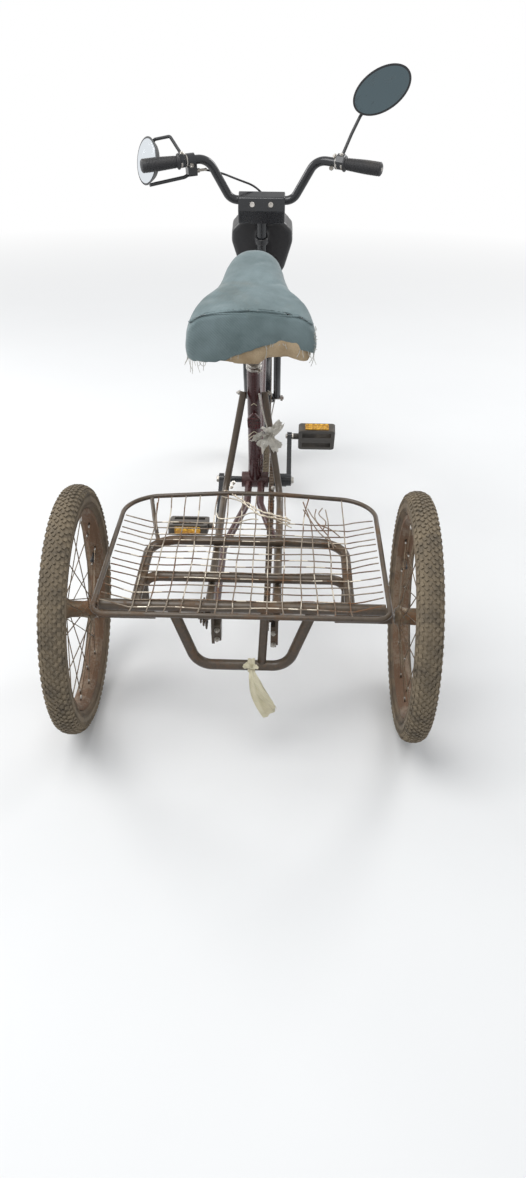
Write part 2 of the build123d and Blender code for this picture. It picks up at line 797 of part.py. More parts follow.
# Grips: narrow at the inner flange, wider towards the end cap
with BuildPart() as grips:
    for way in (-1, 1):
        tip = bar_section(way, bar_tip_half)
        with BuildSketch(Plane(origin=tip.origin, x_dir=tip.z_dir, z_dir=tip.y_dir)) as outline:
            with BuildLine():
                Polyline(
                    (-4, 0),
                    (-4, grip_radius - 3),
                    (0, grip_radius),
                    (grip_length * 0.4, grip_radius),
                    (grip_length - 8, grip_neck_radius),
                    (grip_length - 6, grip_radius + 2),
                    (grip_length - 2, grip_radius + 2),
                    (grip_length - 2, 0),
                    close=True,
                )
            make_face()
        revolve(outline.sketch, axis=Axis(tip.origin, tip.z_dir))
        bore(tip, 0, grip_length, bar_radius + running_gap)
save(grips.part, "grips")

# Brake lever with its bracket, on the left
lever_place = bar_section(-1, 190)
lever_body = 24.0
with BuildPart() as brake_lever:
    rod(lever_place, 0, lever_body - 4, 17)
    with BuildSketch(lever_place) as body:
        with Locations((-20, -4)):
            RectangleRounded(36, 26, 6)
    extrude(body.sketch, amount=lever_body)
    lever = [on_grip_line(-1, 180, -26, 6), on_grip_line(-1, 194, -40, 16), on_grip_line(-1, 282, -47, 6)]
    pipe(lever, 4.5, bends=14)
    bore(lever_place, -1, 30, bar_radius + running_gap)
save(brake_lever.part, "brake_lever")

# Mirrors: side, way, clamp place, stem points and shell centre past the clamp, face, half sizes
left_face = Vector(-0.78, -0.6, 0.15).normalized()
right_face = Vector(-0.15, -0.9, -0.12).normalized()
mirror_table = [
    ("left", -1, 200.0, [(-32, 24, 54), (-75, 40, 44)], (-96, 45, -7), left_face, (58.0, 50.0)),
    ("right", 1, 200.0, [(24, 30, 64), (45, 52, 103)], (92, 25, 163), right_face, (78.0, 48.0)),
]
shell_depth = 14.0
stem_radius = 4.0
for name, way, clamp_x, stem, middle, face, halves in mirror_table:
    foot = on_grip_line(way, clamp_x)
    centre = foot + Vector(*middle)
    long_dir = Vector(0.82, 0, 0.57) if way > 0 else Vector(0, 0, 1)
    upright = Plane(origin=centre, x_dir=long_dir, z_dir=face)
    with BuildPart() as mirror:
        with BuildSketch(upright.offset(-shell_depth)):
            Ellipse(halves[0] * 0.8, halves[1] * 0.8)
        with BuildSketch(upright):
            Ellipse(*halves)
        loft()
        stem_points = [on_grip_line(way, clamp_x, 12, 3)] + [foot + Vector(*point) for point in stem]
        pipe(stem_points + [centre - face * 10], stem_radius, bends=8)
        ring = bar_section(way, clamp_x + 6)
        rod(ring, 0, 12, 15.5)
        bore(ring, -2, 16, bar_radius + running_gap)
    save(mirror.part, f"{name}_mirror")
    with BuildPart() as glass:
        with BuildSketch(upright):
            Ellipse(halves[0] - 5, halves[1] - 5)
        extrude(amount=1.5)
    save(glass.part, f"{name}_mirror_glass")

# Headlamp: a rounded shell ahead of the stem, lens in front
lamp_plane = Plane(origin=steered(0, lamp_back, lamp_low), x_dir=(-1, 0, 0), z_dir=steer_forward)
lamp_ring = lamp_high - 47
with BuildPart() as headlamp:
    with BuildSketch(lamp_plane):
        with BuildLine():
            FilletPolyline(
                (-40, 0), (40, 0), (62, 40), (83, 118), (81, 150), (58, lamp_height),
                (-58, lamp_height), (-81, 150), (-83, 118), (-62, 40),
                radius=16, close=True,
            )
        make_face()
    extrude(amount=lamp_depth)
    rim_edges = headlamp.faces().sort_by(Axis(steer_base, steer_forward))[0].edges()
    fillet(rim_edges, radius=9)
    with BuildSketch(steer.offset(lamp_ring)):
        Circle(19)
        with Locations((0, (lamp_back + 2) / 2)):
            Rectangle(26, lamp_back + 2)
        Circle(steerer_radius + running_gap, mode=Mode.SUBTRACT)
    extrude(amount=22)
save(headlamp.part, "headlamp")
with BuildPart() as headlamp_lens:
    with BuildSketch(lamp_plane.offset(lamp_depth)):
        with Locations((0, 100)):
            Circle(62)
    extrude(amount=9)
save(headlamp_lens.part, "headlamp_lens")

# Brake cable from the lever over the bar, down ahead of the clamp into the lamp shell
cable_radius = 2.6
cable_start = lever_place.from_local_coords((-27, -6, lever_body + seat_gap))
cable_points = [
    cable_start,
    lever_place.from_local_coords((-27, -6, lever_body + 22)),
    cable_start + Vector(60, 42, -10),
    steered(-62, bar_forward + 29, bar_up + 39),
    steered(-22, bar_forward + 33, bar_up + 22),
    steered(6, bar_forward + 32, bar_up - 4),
    steered(6, bar_forward + 32, lamp_high + seat_gap),
]
with BuildPart() as brake_cable:
    cable_bends = []
    for before, point, after in zip(cable_points, cable_points[1:], cable_points[2:]):
        turn = radians((point - before).get_angle(after - point))
        shorter = min((point - before).length, (after - point).length)
        cable_bends.append(0.45 * shorter / tan(turn / 2))
    pipe(cable_points, cable_radius, bends=cable_bends)
save(brake_cable.part, "brake_cable")

# Red shield-shaped reflector on the back of the seat tube
with BuildPart() as tube_reflector:
    back = on_seat_tube(226, 0, seat_tube_radius + seat_gap)
    with BuildSketch(Plane(origin=back, x_dir=(-1, 0, 0), z_dir=seat_back)):
        with BuildLine():
            FilletPolyline((-15, 24), (15, 24), (16, -4), (0, -28), (-16, -4), radius=5, close=True)
        make_face()
    extrude(amount=6)
save(tube_reflector.part, "tube_reflector")

# Rags tied to the hoop and to the seat tube
rag_length = 94.0
with BuildPart() as hoop_rag:
    rag_top = hoop_up - hoop_radius - seat_gap
    with BuildSketch(Plane(origin=at_rear(20, rear_bar_front - 4, rag_top - rag_length), z_dir=(0, 0, 1))):
        Rectangle(16, 6)
    extrude(amount=rag_length)
save(hoop_rag.part, "hoop_rag")
with BuildPart() as tube_rag:
    with BuildSketch(Plane(origin=on_seat_tube(162, seat_tube_radius + 9 + seat_gap, 4), z_dir=(0, 0, 1))):
        Rectangle(18, 18)
    extrude(amount=34)
save(tube_rag.part, "tube_rag")
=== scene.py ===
import json
import random
from math import acos, atan2, cos, exp, pi, radians, sin, sqrt

import bmesh
import bpy
from mathutils import Matrix, Vector, noise


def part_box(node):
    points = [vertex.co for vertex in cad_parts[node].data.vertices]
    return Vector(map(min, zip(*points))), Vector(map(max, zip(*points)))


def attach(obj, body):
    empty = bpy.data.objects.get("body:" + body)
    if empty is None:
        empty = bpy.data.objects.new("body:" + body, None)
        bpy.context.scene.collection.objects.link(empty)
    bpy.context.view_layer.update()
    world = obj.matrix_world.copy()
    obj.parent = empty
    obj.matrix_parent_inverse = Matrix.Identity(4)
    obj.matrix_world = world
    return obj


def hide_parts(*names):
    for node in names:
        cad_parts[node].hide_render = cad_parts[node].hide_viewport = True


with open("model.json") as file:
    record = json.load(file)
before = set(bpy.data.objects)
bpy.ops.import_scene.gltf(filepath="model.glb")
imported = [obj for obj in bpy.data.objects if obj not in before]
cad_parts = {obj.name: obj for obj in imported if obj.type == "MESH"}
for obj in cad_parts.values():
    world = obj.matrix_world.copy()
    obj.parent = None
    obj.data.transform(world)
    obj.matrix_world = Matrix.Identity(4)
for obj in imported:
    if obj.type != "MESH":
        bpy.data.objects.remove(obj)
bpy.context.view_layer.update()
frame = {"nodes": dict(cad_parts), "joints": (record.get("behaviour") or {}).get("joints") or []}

# An adult pedal tricycle with a wire carrier, dressed over its CAD frame.
# Metres: +Y forward, +X to the rider's right, +Z up, ground at 0.
cadNodes = frame["nodes"]
joints = {joint["name"]: joint for joint in frame["joints"]}
print("frame loaded", len(cadNodes), "nodes")

# Points are given from the rear axle, the seat post's top, the seat tube, the steering axis or a wheel
axleCentre = Vector(joints["drive_axle_spin"]["pos_m"])
axleCentre.x = 0.0
crankCentre = Vector(joints["crank_spin"]["pos_m"])
frontCentre = Vector(joints["front_wheel_spin"]["pos_m"])
seatPoint = Vector((0.0, -0.21655, 0.7417))
seatTubeUp = Vector((0.0, -0.3746, 0.9272))
seatTubeBack = Vector((0.0, -0.9272, -0.3746))
steerUp = Vector((0.0, -0.325568, 0.945519))
steerForward = Vector((0.0, 0.945519, 0.325568))
forkOffset = 0.034
steerBase = frontCentre - steerForward * forkOffset


def atRear(x, forward, height):
    return Vector((x, axleCentre.y + forward, height))


def atSeat(x, forward, up):
    return seatPoint + Vector((x, forward, up))


def onSeatTube(along, x=0.0, behind=0.0):
    return crankCentre + Vector((x, 0, 0)) + seatTubeUp * along + seatTubeBack * behind


def steered(x, forward, up):
    return steerBase + Vector((x, 0, 0)) + steerForward * forward + steerUp * up


def onWheel(x, radius, angle):
    return Vector((x, radius * cos(angle), radius * sin(angle)))


def middleOf(node):
    low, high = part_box(node)
    return (low + high) / 2


# Node trees, for finishes and for growing meshes
class Wire:
    def __init__(self, kit, socket):
        self.kit = kit
        self.socket = socket

    def calculate(self, operation, first, second=0.0):
        return self.kit.node("ShaderNodeMath", {"operation": operation}, {0: first, 1: second})

    def __add__(self, other):
        return self.calculate("ADD", self, other)

    def __radd__(self, other):
        return self.calculate("ADD", other, self)

    def __sub__(self, other):
        return self.calculate("SUBTRACT", self, other)

    def __rsub__(self, other):
        return self.calculate("SUBTRACT", other, self)

    def __mul__(self, other):
        return self.calculate("MULTIPLY", self, other)

    def __rmul__(self, other):
        return self.calculate("MULTIPLY", other, self)

    def __truediv__(self, other):
        return self.calculate("DIVIDE", self, other)

    def __pow__(self, other):
        return self.calculate("POWER", self, other)

    def largest(self, other):
        return self.calculate("MAXIMUM", self, other)

    def smallest(self, other):
        return self.calculate("MINIMUM", self, other)


class Kit:
    def __init__(self, tree):
        self.tree = tree

    def node(self, kind, settings=None, inputs=None, output=0):
        made = self.tree.nodes.new(kind)
        for name, value in (settings or {}).items():
            if name == "stops":
                ramp = made.color_ramp
                while len(ramp.elements) < len(value):
                    ramp.elements.new(0.5)
                for element, (place, colour) in zip(ramp.elements, value):
                    element.position = place
                    element.color = colour if len(colour) == 4 else (*colour, 1)
            else:
                setattr(made, name, value)
        for name, value in (inputs or {}).items():
            for each in value if isinstance(value, list) else [value]:
                if isinstance(each, Wire):
                    self.tree.links.new(each.socket, made.inputs[name])
                else:
                    made.inputs[name].default_value = each
        return Wire(self, made.outputs[output])


class Finish(Kit):
    def __init__(self, name):
        self.material = bpy.data.materials.new(name)
        self.material.use_nodes = True
        super().__init__(self.material.node_tree)
        self.tree.nodes.clear()
        self.place = self.node("ShaderNodeTexCoord", output="Object")

    def speckle(self, pattern, detail=4.0, roughness=0.55, distortion=0.0):
        values = {"Vector": self.place, "Scale": patternScales[pattern], "Detail": detail,
                  "Roughness": roughness, "Distortion": distortion}
        return self.node("ShaderNodeTexNoise", {}, values, "Fac")

    def ramp(self, value, low, high):
        stretched = {"Value": value, "From Min": low, "From Max": high}
        return self.node("ShaderNodeMapRange", {"clamp": True}, stretched)

    def mix(self, share, first, second, blend="MIX"):
        first = (*first, 1) if isinstance(first, tuple) else first
        second = (*second, 1) if isinstance(second, tuple) else second
        settings = {"data_type": "RGBA", "blend_type": blend}
        return self.node("ShaderNodeMix", settings, {0: share, 6: first, 7: second}, 2)

    def upward(self):
        normal = self.node("ShaderNodeTexCoord", output="Normal")
        return self.node("ShaderNodeSeparateXYZ", {}, {0: normal}, "Z")

    def bump(self, height, distance, strength=1.0):
        values = {"Height": height, "Distance": distance, "Strength": strength}
        return self.node("ShaderNodeBump", {}, values)

    def surface(self, **values):
        named = {name.replace("_", " "): value for name, value in values.items()}
        for name, value in named.items():
            if isinstance(value, tuple) and len(value) == 3:
                named[name] = (*value, 1)
        shader = self.node("ShaderNodeBsdfPrincipled", {}, named)
        ending = self.tree.nodes.new("ShaderNodeOutputMaterial")
        self.tree.links.new(shader.socket, ending.inputs["Surface"])
        return self.material


# How often each pattern repeats
patternScales = {
    "paintPatches": 9.0, "paintGrains": 140.0, "paintDust": 30.0, "metalPatches": 14.0,
    "metalGrains": 220.0, "mud": 22.0, "tyreGrit": 260.0, "plasticGrains": 320.0,
    "plasticSmudges": 24.0, "reflectorCells": 260.0, "reflectorGrime": 60.0,
    "reflectorSparks": 150.0, "clothFade": 16.0, "clothFuzz": 420.0, "clothStain": 7.0,
    "foamPores": 380.0, "foamBlotches": 26.0, "lensHaze": 30.0, "mirrorSpots": 45.0,
    "floorClouds": 1.6,
}


def shaded(colour, share):
    return tuple(min(1.0, part * share) for part in colour)


# Paint with rust coming through and dust on what faces up
paintValues = {
    "carrierPaint": {"base": (0.046, 0.031, 0.019), "rust": (0.135, 0.074, 0.036), "rustFrom": 0.52,
                     "gloss": 0.24, "dust": (0.23, 0.18, 0.115), "dustShare": 0.24},
    "framePaint": {"base": (0.046, 0.014, 0.015), "rust": (0.12, 0.055, 0.028), "rustFrom": 0.60,
                   "gloss": 0.20, "dust": (0.24, 0.19, 0.14), "dustShare": 0.16},
    "blackPaint": {"base": (0.010, 0.011, 0.013), "rust": (0.10, 0.05, 0.03), "rustFrom": 0.72,
                   "gloss": 0.12, "dust": (0.20, 0.17, 0.14), "dustShare": 0.06},
}


def paintFinish(name, values):
    finish = Finish(name)
    patches = finish.speckle("paintPatches", 6.0, 0.62, 0.4)
    grains = finish.speckle("paintGrains", 3.0, 0.6)
    rust = finish.ramp(patches * 0.72 + grains * 0.28, values["rustFrom"], values["rustFrom"] + 0.10)
    shade = finish.mix(finish.ramp(grains, 0.3, 0.7), values["base"], shaded(values["base"], 1.5))
    rusted = finish.mix(grains, values["rust"], shaded(values["rust"], 0.45))
    colour = finish.mix(rust, shade, rusted)
    settled = finish.ramp(finish.upward(), 0.1, 0.95)
    dust = settled * finish.ramp(finish.speckle("paintDust", 5.0), 0.35, 0.7) * values["dustShare"]
    colour = finish.mix(dust, colour, values["dust"])
    rough = finish.ramp(grains, 0.0, 1.0) * 0.12 + values["gloss"]
    rough = (rough + rust * 0.4 + dust * 0.5).smallest(0.95)
    bumps = finish.bump(rust * grains, 0.0006, 0.5)
    return finish.surface(Base_Color=colour, Roughness=rough, Normal=bumps, Metallic=0.0,
                          Specular_IOR_Level=0.5)


# Bare metal, from the dark wires to the bright nuts
metalValues = {
    "wireMetal": {"bright": (0.33, 0.28, 0.22), "dull": (0.110, 0.080, 0.055),
                  "rust": (0.17, 0.085, 0.040), "rustFrom": 0.50, "rough": 0.38, "metal": 0.55},
    # wornMetal's pale colour also serves as painted glints on the floor wires' rubbed stretches
    "wornMetal": {"bright": (0.72, 0.66, 0.55), "dull": (0.42, 0.36, 0.28),
                  "rust": (0.20, 0.105, 0.050), "rustFrom": 0.58, "rough": 0.26, "metal": 0.80},
    "plainMetal": {"bright": (0.46, 0.44, 0.42), "dull": (0.20, 0.17, 0.15),
                   "rust": (0.19, 0.09, 0.04), "rustFrom": 0.56, "rough": 0.36, "metal": 0.85},
    "hubMetal": {"bright": (0.20, 0.155, 0.10), "dull": (0.085, 0.058, 0.036),
                 "rust": (0.15, 0.075, 0.032), "rustFrom": 0.52, "rough": 0.36, "metal": 0.65},
    "rimMetal": {"bright": (0.215, 0.155, 0.105), "dull": (0.140, 0.092, 0.056),
                 "rust": (0.150, 0.086, 0.050), "rustFrom": 0.44, "rough": 0.52, "metal": 0.35},
    "oilyMetal": {"bright": (0.16, 0.12, 0.085), "dull": (0.045, 0.032, 0.024),
                  "rust": (0.13, 0.06, 0.026), "rustFrom": 0.52, "rough": 0.42, "metal": 0.55},
    "nutMetal": {"bright": (0.52, 0.50, 0.47), "dull": (0.30, 0.28, 0.25),
                 "rust": (0.24, 0.13, 0.07), "rustFrom": 0.66, "rough": 0.24, "metal": 0.95},
}


def metalFinish(name, values):
    finish = Finish(name)
    patches = finish.speckle("metalPatches", 6.0, 0.6, 0.3)
    grains = finish.speckle("metalGrains", 2.0, 0.6)
    shade = finish.mix(finish.ramp(patches, 0.35, 0.62), values["bright"], values["dull"])
    rust = finish.ramp(patches * 0.6 + grains * 0.4, values["rustFrom"], values["rustFrom"] + 0.08)
    colour = finish.mix(rust, shade, values["rust"])
    rough = rust * 0.35 + grains * 0.15 + values["rough"]
    bumps = finish.bump(rust * grains, 0.0004, 0.5)
    return finish.surface(Base_Color=colour, Roughness=rough, Normal=bumps,
                          Metallic=values["metal"] * (1 - rust * 0.8))


# Tyres: mud over rubber, clay on the sidewalls, worn clean where the knobs touch the road
tyreValues = {"rubber": (0.060, 0.050, 0.038), "mud": (0.265, 0.210, 0.140), "clay": (0.185, 0.125, 0.080),
              "shoulder": 0.222, "clayOver": 0.035, "wornFrom": 0.2535, "wornTo": 0.2575}


def tyreFinish(name, centre, values):
    finish = Finish(name)
    parts = {axis: finish.node("ShaderNodeSeparateXYZ", {}, {0: finish.place}, axis) for axis in ("Y", "Z")}
    forward = parts["Y"] - centre[1]
    height = parts["Z"] - centre[2]
    radius = (forward * forward + height * height) ** 0.5
    caked = finish.speckle("mud", 6.0, 0.6, 0.5)
    grains = finish.speckle("tyreGrit", 3.0, 0.6)
    worn = finish.ramp(radius, values["wornFrom"], values["wornTo"])
    mudShare = finish.ramp(caked * 0.75 + grains * 0.25, 0.30, 0.55) * (1 - worn * 0.35)
    mudShare = mudShare * 0.85 + 0.10
    clayShare = finish.ramp(values["shoulder"] - radius + caked * 0.03, 0.0, values["clayOver"])
    mud = finish.mix(grains, values["mud"], shaded(values["mud"], 0.62))
    mud = finish.mix(clayShare * 0.75, mud, values["clay"])
    colour = finish.mix(mudShare, values["rubber"], mud)
    bumps = finish.bump(caked * 0.5 + grains * 0.5, 0.0012, 0.6)
    return finish.surface(Base_Color=colour, Roughness=0.78 + mudShare * 0.16, Normal=bumps)


# Plastics, rubber and flat paint, with dust on what faces up
plasticDust = (0.26, 0.22, 0.17)
plasticValues = {
    "gripRubber": {"base": (0.014, 0.014, 0.016), "rough": 0.45, "dust": 0.15},
    "blackPlastic": {"base": (0.018, 0.019, 0.021), "rough": 0.35, "dust": 0.15},
    "lampPlastic": {"base": (0.015, 0.015, 0.017), "rough": 0.22, "dust": 0.15},
    "pedalPlastic": {"base": (0.040, 0.034, 0.028), "rough": 0.42, "dust": 0.5},
    "creamPaint": {"base": (0.62, 0.55, 0.40), "rough": 0.40, "dust": 0.15},
    "cableRubber": {"base": (0.012, 0.012, 0.014), "rough": 0.30, "dust": 0.15},
}


def plasticFinish(name, values):
    finish = Finish(name)
    grains = finish.speckle("plasticGrains", 2.0)
    smudges = finish.speckle("plasticSmudges", 5.0)
    share = finish.ramp(finish.upward(), 0.0, 1.0) * finish.ramp(smudges, 0.4, 0.75) * values["dust"]
    colour = finish.mix(share, values["base"], plasticDust)
    bumps = finish.bump(grains, 0.0003, 0.4)
    return finish.surface(Base_Color=colour, Roughness=smudges * 0.2 + values["rough"], Normal=bumps)


# Reflectors: small cells under grime
reflectorValues = {
    "amberPlastic": {"base": (0.95, 0.42, 0.04), "grime": (0.10, 0.07, 0.05), "glow": 0.35},
    "redPlastic": {"base": (0.11, 0.010, 0.014), "grime": (0.10, 0.07, 0.05), "glow": 0.02},
}


def reflectorFinish(name, values):
    finish = Finish(name)
    base = values["base"]
    cells = finish.node("ShaderNodeTexVoronoi", {"feature": "F1"}, {
        "Vector": finish.place, "Scale": patternScales["reflectorCells"], "Randomness": 0.15}, "Distance")
    grime = finish.ramp(finish.speckle("reflectorGrime", 5.0), 0.45, 0.75)
    sparks = finish.ramp(finish.speckle("reflectorSparks", 2.0, 0.7), 0.42, 0.60)
    colour = finish.mix(finish.ramp(cells, 0.1, 0.6), shaded(base, 1.5), shaded(base, 0.40))
    colour = finish.mix(sparks, colour, shaded(base, 0.30))
    colour = finish.mix(grime * 0.45, colour, values["grime"])
    bumps = finish.bump(cells, 0.0008, 0.8)
    return finish.surface(Base_Color=colour, Roughness=grime * 0.4 + 0.12, Normal=bumps,
                          Emission_Color=colour, Emission_Strength=values["glow"])


# Cloth: two sets of threads, a fade, fuzz and stains
clothValues = {
    "denim": {"base": (0.105, 0.148, 0.150), "light": (0.180, 0.238, 0.245), "deep": (0.055, 0.082, 0.088),
              "threads": 900.0, "stain": (0.150, 0.145, 0.115), "stainShare": 0.45},
    "paleCloth": {"base": (0.58, 0.53, 0.36), "light": (0.72, 0.67, 0.50), "deep": (0.38, 0.33, 0.21),
                  "threads": 1100.0, "stain": (0.30, 0.24, 0.15), "stainShare": 0.55},
    "threadCloth": {"base": (0.40, 0.39, 0.34), "light": (0.55, 0.54, 0.48), "deep": (0.22, 0.24, 0.23),
                    "threads": 1400.0, "stain": (0.26, 0.23, 0.18), "stainShare": 0.4},
    "whiteCloth": {"base": (0.52, 0.49, 0.42), "light": (0.68, 0.66, 0.60), "deep": (0.33, 0.30, 0.25),
                   "threads": 1100.0, "stain": (0.26, 0.21, 0.15), "stainShare": 0.45},
}


def threadBands(finish, direction, scale):
    return finish.node("ShaderNodeTexWave", {"wave_type": "BANDS", "bands_direction": direction}, {
        "Vector": finish.place, "Scale": scale, "Distortion": 0.6, "Detail": 1.0,
        "Detail Scale": 1.5}, "Fac")


def clothFinish(name, values):
    finish = Finish(name)
    across = threadBands(finish, "X", values["threads"] / 6.3)
    along = threadBands(finish, "DIAGONAL", values["threads"] / 9.0)
    weave = across.largest(along)
    fade = finish.speckle("clothFade", 5.0, 0.6)
    fuzz = finish.speckle("clothFuzz", 3.0, 0.7)
    colour = finish.mix(finish.ramp(fade, 0.35, 0.68), values["base"], values["light"])
    colour = finish.mix((1 - weave) * 0.55, colour, values["deep"])
    colour = finish.mix(finish.ramp(fuzz, 0.45, 0.8) * 0.35, colour, values["light"])
    stain = finish.ramp(finish.speckle("clothStain", 6.0, 0.65, 0.6), 0.52, 0.68) * values["stainShare"]
    colour = finish.mix(stain, colour, values["stain"])
    bumps = finish.bump(weave * 0.6 + fuzz * 0.4, 0.0006, 0.55)
    return finish.surface(Base_Color=colour, Roughness=0.93, Normal=bumps,
                          Sheen_Weight=0.25, Sheen_Roughness=0.5)


foamValues = {"pale": (0.47, 0.36, 0.23), "brown": (0.33, 0.24, 0.14), "pore": (0.24, 0.16, 0.09)}


def foamFinish(name, values):
    finish = Finish(name)
    pores = finish.speckle("foamPores", 4.0, 0.7)
    blotches = finish.speckle("foamBlotches", 5.0)
    colour = finish.mix(finish.ramp(blotches, 0.35, 0.65), values["pale"], values["brown"])
    colour = finish.mix(finish.ramp(pores, 0.5, 0.75) * 0.5, colour, values["pore"])
    return finish.surface(Base_Color=colour, Roughness=0.95, Normal=finish.bump(pores, 0.0012, 0.7))


lensValues = {"tint": (0.80, 0.84, 0.86), "alpha": 0.45}


def lensFinish(name, values):
    finish = Finish(name)
    haze = finish.speckle("lensHaze", 5.0)
    return finish.surface(Base_Color=values["tint"], Roughness=haze * 0.12 + 0.03,
                          Alpha=haze * 0.1 + values["alpha"], Specular_IOR_Level=0.8)


# Mirror glass. The right mirror's dark teal colour is a painted reflection of dark surroundings, not a tint
# of the glass
mirrorValues = {"mirrorGlass": {"clear": (0.74, 0.78, 0.82), "spot": (0.34, 0.34, 0.34)},
                "dimGlass": {"clear": (0.105, 0.140, 0.155), "spot": (0.06, 0.07, 0.075)}}


def mirrorFinish(name, values):
    finish = Finish(name)
    spots = finish.ramp(finish.speckle("mirrorSpots", 6.0, 0.65), 0.55, 0.72)
    colour = finish.mix(spots * 0.4, values["clear"], values["spot"])
    return finish.surface(Base_Color=colour, Roughness=spots * 0.35 + 0.06, Metallic=1 - spots * 0.5)


finishes = {}
for maker, table in ((paintFinish, paintValues), (metalFinish, metalValues), (clothFinish, clothValues),
                     (plasticFinish, plasticValues), (reflectorFinish, reflectorValues),
                     (mirrorFinish, mirrorValues)):
    for finishName, values in table.items():
        finishes[finishName] = maker(finishName, values)
finishes["frontTyreRubber"] = tyreFinish("frontTyreRubber", frontCentre, tyreValues)
finishes["rearTyreRubber"] = tyreFinish("rearTyreRubber", axleCentre, tyreValues)
finishes["seatFoam"] = foamFinish("seatFoam", foamValues)
finishes["clearLens"] = lensFinish("clearLens", lensValues)
print("finishes made", len(finishes))

nodeFinishes = {
    "main_frame": "framePaint", "hanger_plates": "carrierPaint", "rear_frame": "carrierPaint",
    "carrier_stays": "carrierPaint", "carrier_rim": "carrierPaint", "carrier_mesh": "wireMetal",
    "drive_chain": "oilyMetal", "seat_post": "plainMetal", "saddle_frame": "plainMetal",
    "tube_reflector": "redPlastic", "fork": "blackPaint", "front_axle": "plainMetal",
    "front_mudguard": "blackPaint", "handlebar": "blackPaint", "bar_clamp": "blackPaint",
    "grips": "gripRubber", "brake_lever": "blackPaint", "left_mirror": "blackPlastic",
    "right_mirror": "blackPlastic", "left_mirror_glass": "mirrorGlass",
    # The right mirror's glass carries the painted dark reflection
    "right_mirror_glass": "dimGlass", "brake_cable": "cableRubber",
    "headlamp": "lampPlastic", "headlamp_lens": "clearLens",
    "front_rim": "rimMetal", "left_rear_rim": "rimMetal", "right_rear_rim": "rimMetal",
    "front_hub": "hubMetal", "left_rear_hub": "hubMetal", "right_rear_hub": "hubMetal",
    "rear_axle": "plainMetal", "axle_sprocket": "oilyMetal", "idle_cogs": "oilyMetal",
    "crank_arms": "blackPaint", "chainring": "oilyMetal", "left_pedal": "pedalPlastic",
    "right_pedal": "pedalPlastic", "left_pedal_reflectors": "amberPlastic",
    "right_pedal_reflectors": "amberPlastic",
}
for nodeName, finishName in nodeFinishes.items():
    mesh = cadNodes[nodeName].data
    mesh.materials.clear()
    mesh.materials.append(finishes[finishName])


# Mesh helpers
def meshPiece(name, mesh, finishName=None):
    piece = bpy.data.objects.new(name, mesh)
    bpy.context.scene.collection.objects.link(piece)
    if finishName:
        mesh.materials.clear()
        mesh.materials.append(finishes[finishName])
    return piece


# The body that a piece turns with, and the solids that it stands for, which are hidden
def fitted(piece, slotName, body, *nodes):
    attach(piece, body)
    if nodes:
        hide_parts(*nodes)


# Faces between rings of points that lie one after another
def gridFaces(rings, size, ringsClose=False, sizeCloses=False):
    faces = []
    for ring in range(rings if ringsClose else rings - 1):
        after = (ring + 1) % rings
        for n in range(size if sizeCloses else size - 1):
            m = (n + 1) % size
            faces.append((ring * size + n, ring * size + m, after * size + m, after * size + n))
    return faces


def fromFaces(name, vertices, faces, finishName, smooth=True):
    mesh = bpy.data.meshes.new(name)
    mesh.from_pydata([tuple(v) for v in vertices], [], faces)
    form = bmesh.new()
    form.from_mesh(mesh)
    bmesh.ops.remove_doubles(form, verts=form.verts, dist=0.00001)
    bmesh.ops.recalc_face_normals(form, faces=form.faces)
    form.to_mesh(mesh)
    form.free()
    for polygon in mesh.polygons:
        polygon.use_smooth = smooth
    return meshPiece(name, mesh, finishName)


def pathObject(name, paths, closed=False):
    vertices = []
    edges = []
    for path in paths:
        start = len(vertices)
        vertices += [tuple(point) for point in path]
        edges += [(start + n, start + n + 1) for n in range(len(path) - 1)]
        if closed:
            edges.append((start + len(path) - 1, start))
    mesh = bpy.data.meshes.new(name)
    mesh.from_pydata(vertices, edges, [])
    return meshPiece(name, mesh)


def smoothPoints(points, steps=8):
    points = [Vector(point) for point in points]
    padded = [points[0] * 2 - points[1]] + points + [points[-1] * 2 - points[-2]]
    curve = []
    for n in range(1, len(padded) - 2):
        before, start, end, after = padded[n - 1:n + 3]
        for step in range(steps):
            t = step / steps
            curve.append(0.5 * (2 * start + (end - before) * t
                                + (2 * before - 5 * start + 4 * end - after) * t * t
                                + (3 * start - before - 3 * end + after) * t * t * t))
    curve.append(points[-1])
    return curve


def newGrowth(name, inputs):
    tree = bpy.data.node_groups.new(name, "GeometryNodeTree")
    tree.interface.new_socket("Geometry", in_out="INPUT", socket_type="NodeSocketGeometry")
    for label, kind, value in inputs:
        socket = tree.interface.new_socket(label, in_out="INPUT", socket_type="NodeSocket" + kind)
        if value is not None:
            socket.default_value = value
    tree.interface.new_socket("Geometry", in_out="OUTPUT", socket_type="NodeSocketGeometry")
    kit = Kit(tree)
    given = tree.nodes.new("NodeGroupInput")
    sockets = {socket.name: Wire(kit, socket) for socket in given.outputs if socket.name}
    return kit, sockets


def endGrowth(kit, geometry, material):
    real = kit.node("GeometryNodeRealizeInstances", {}, {0: geometry})
    coated = kit.node("GeometryNodeSetMaterial", {}, {"Geometry": real, "Material": material})
    ending = kit.tree.nodes.new("NodeGroupOutput")
    kit.tree.links.new(coated.socket, ending.inputs[0])
    return kit.tree


def grow(name, source, tree, values):
    modifier = source.modifiers.new("growth", "NODES")
    modifier.node_group = tree
    names = {}
    for item in tree.interface.items_tree:
        if item.item_type == "SOCKET" and item.in_out == "INPUT":
            names[item.name] = item.identifier
    for label, value in values.items():
        modifier[names[label]] = value
    depsgraph = bpy.context.evaluated_depsgraph_get()
    mesh = bpy.data.meshes.new_from_object(source.evaluated_get(depsgraph), depsgraph=depsgraph)
    source.modifiers.clear()
    bpy.data.objects.remove(source)
    mesh.name = name
    return meshPiece(name, mesh)


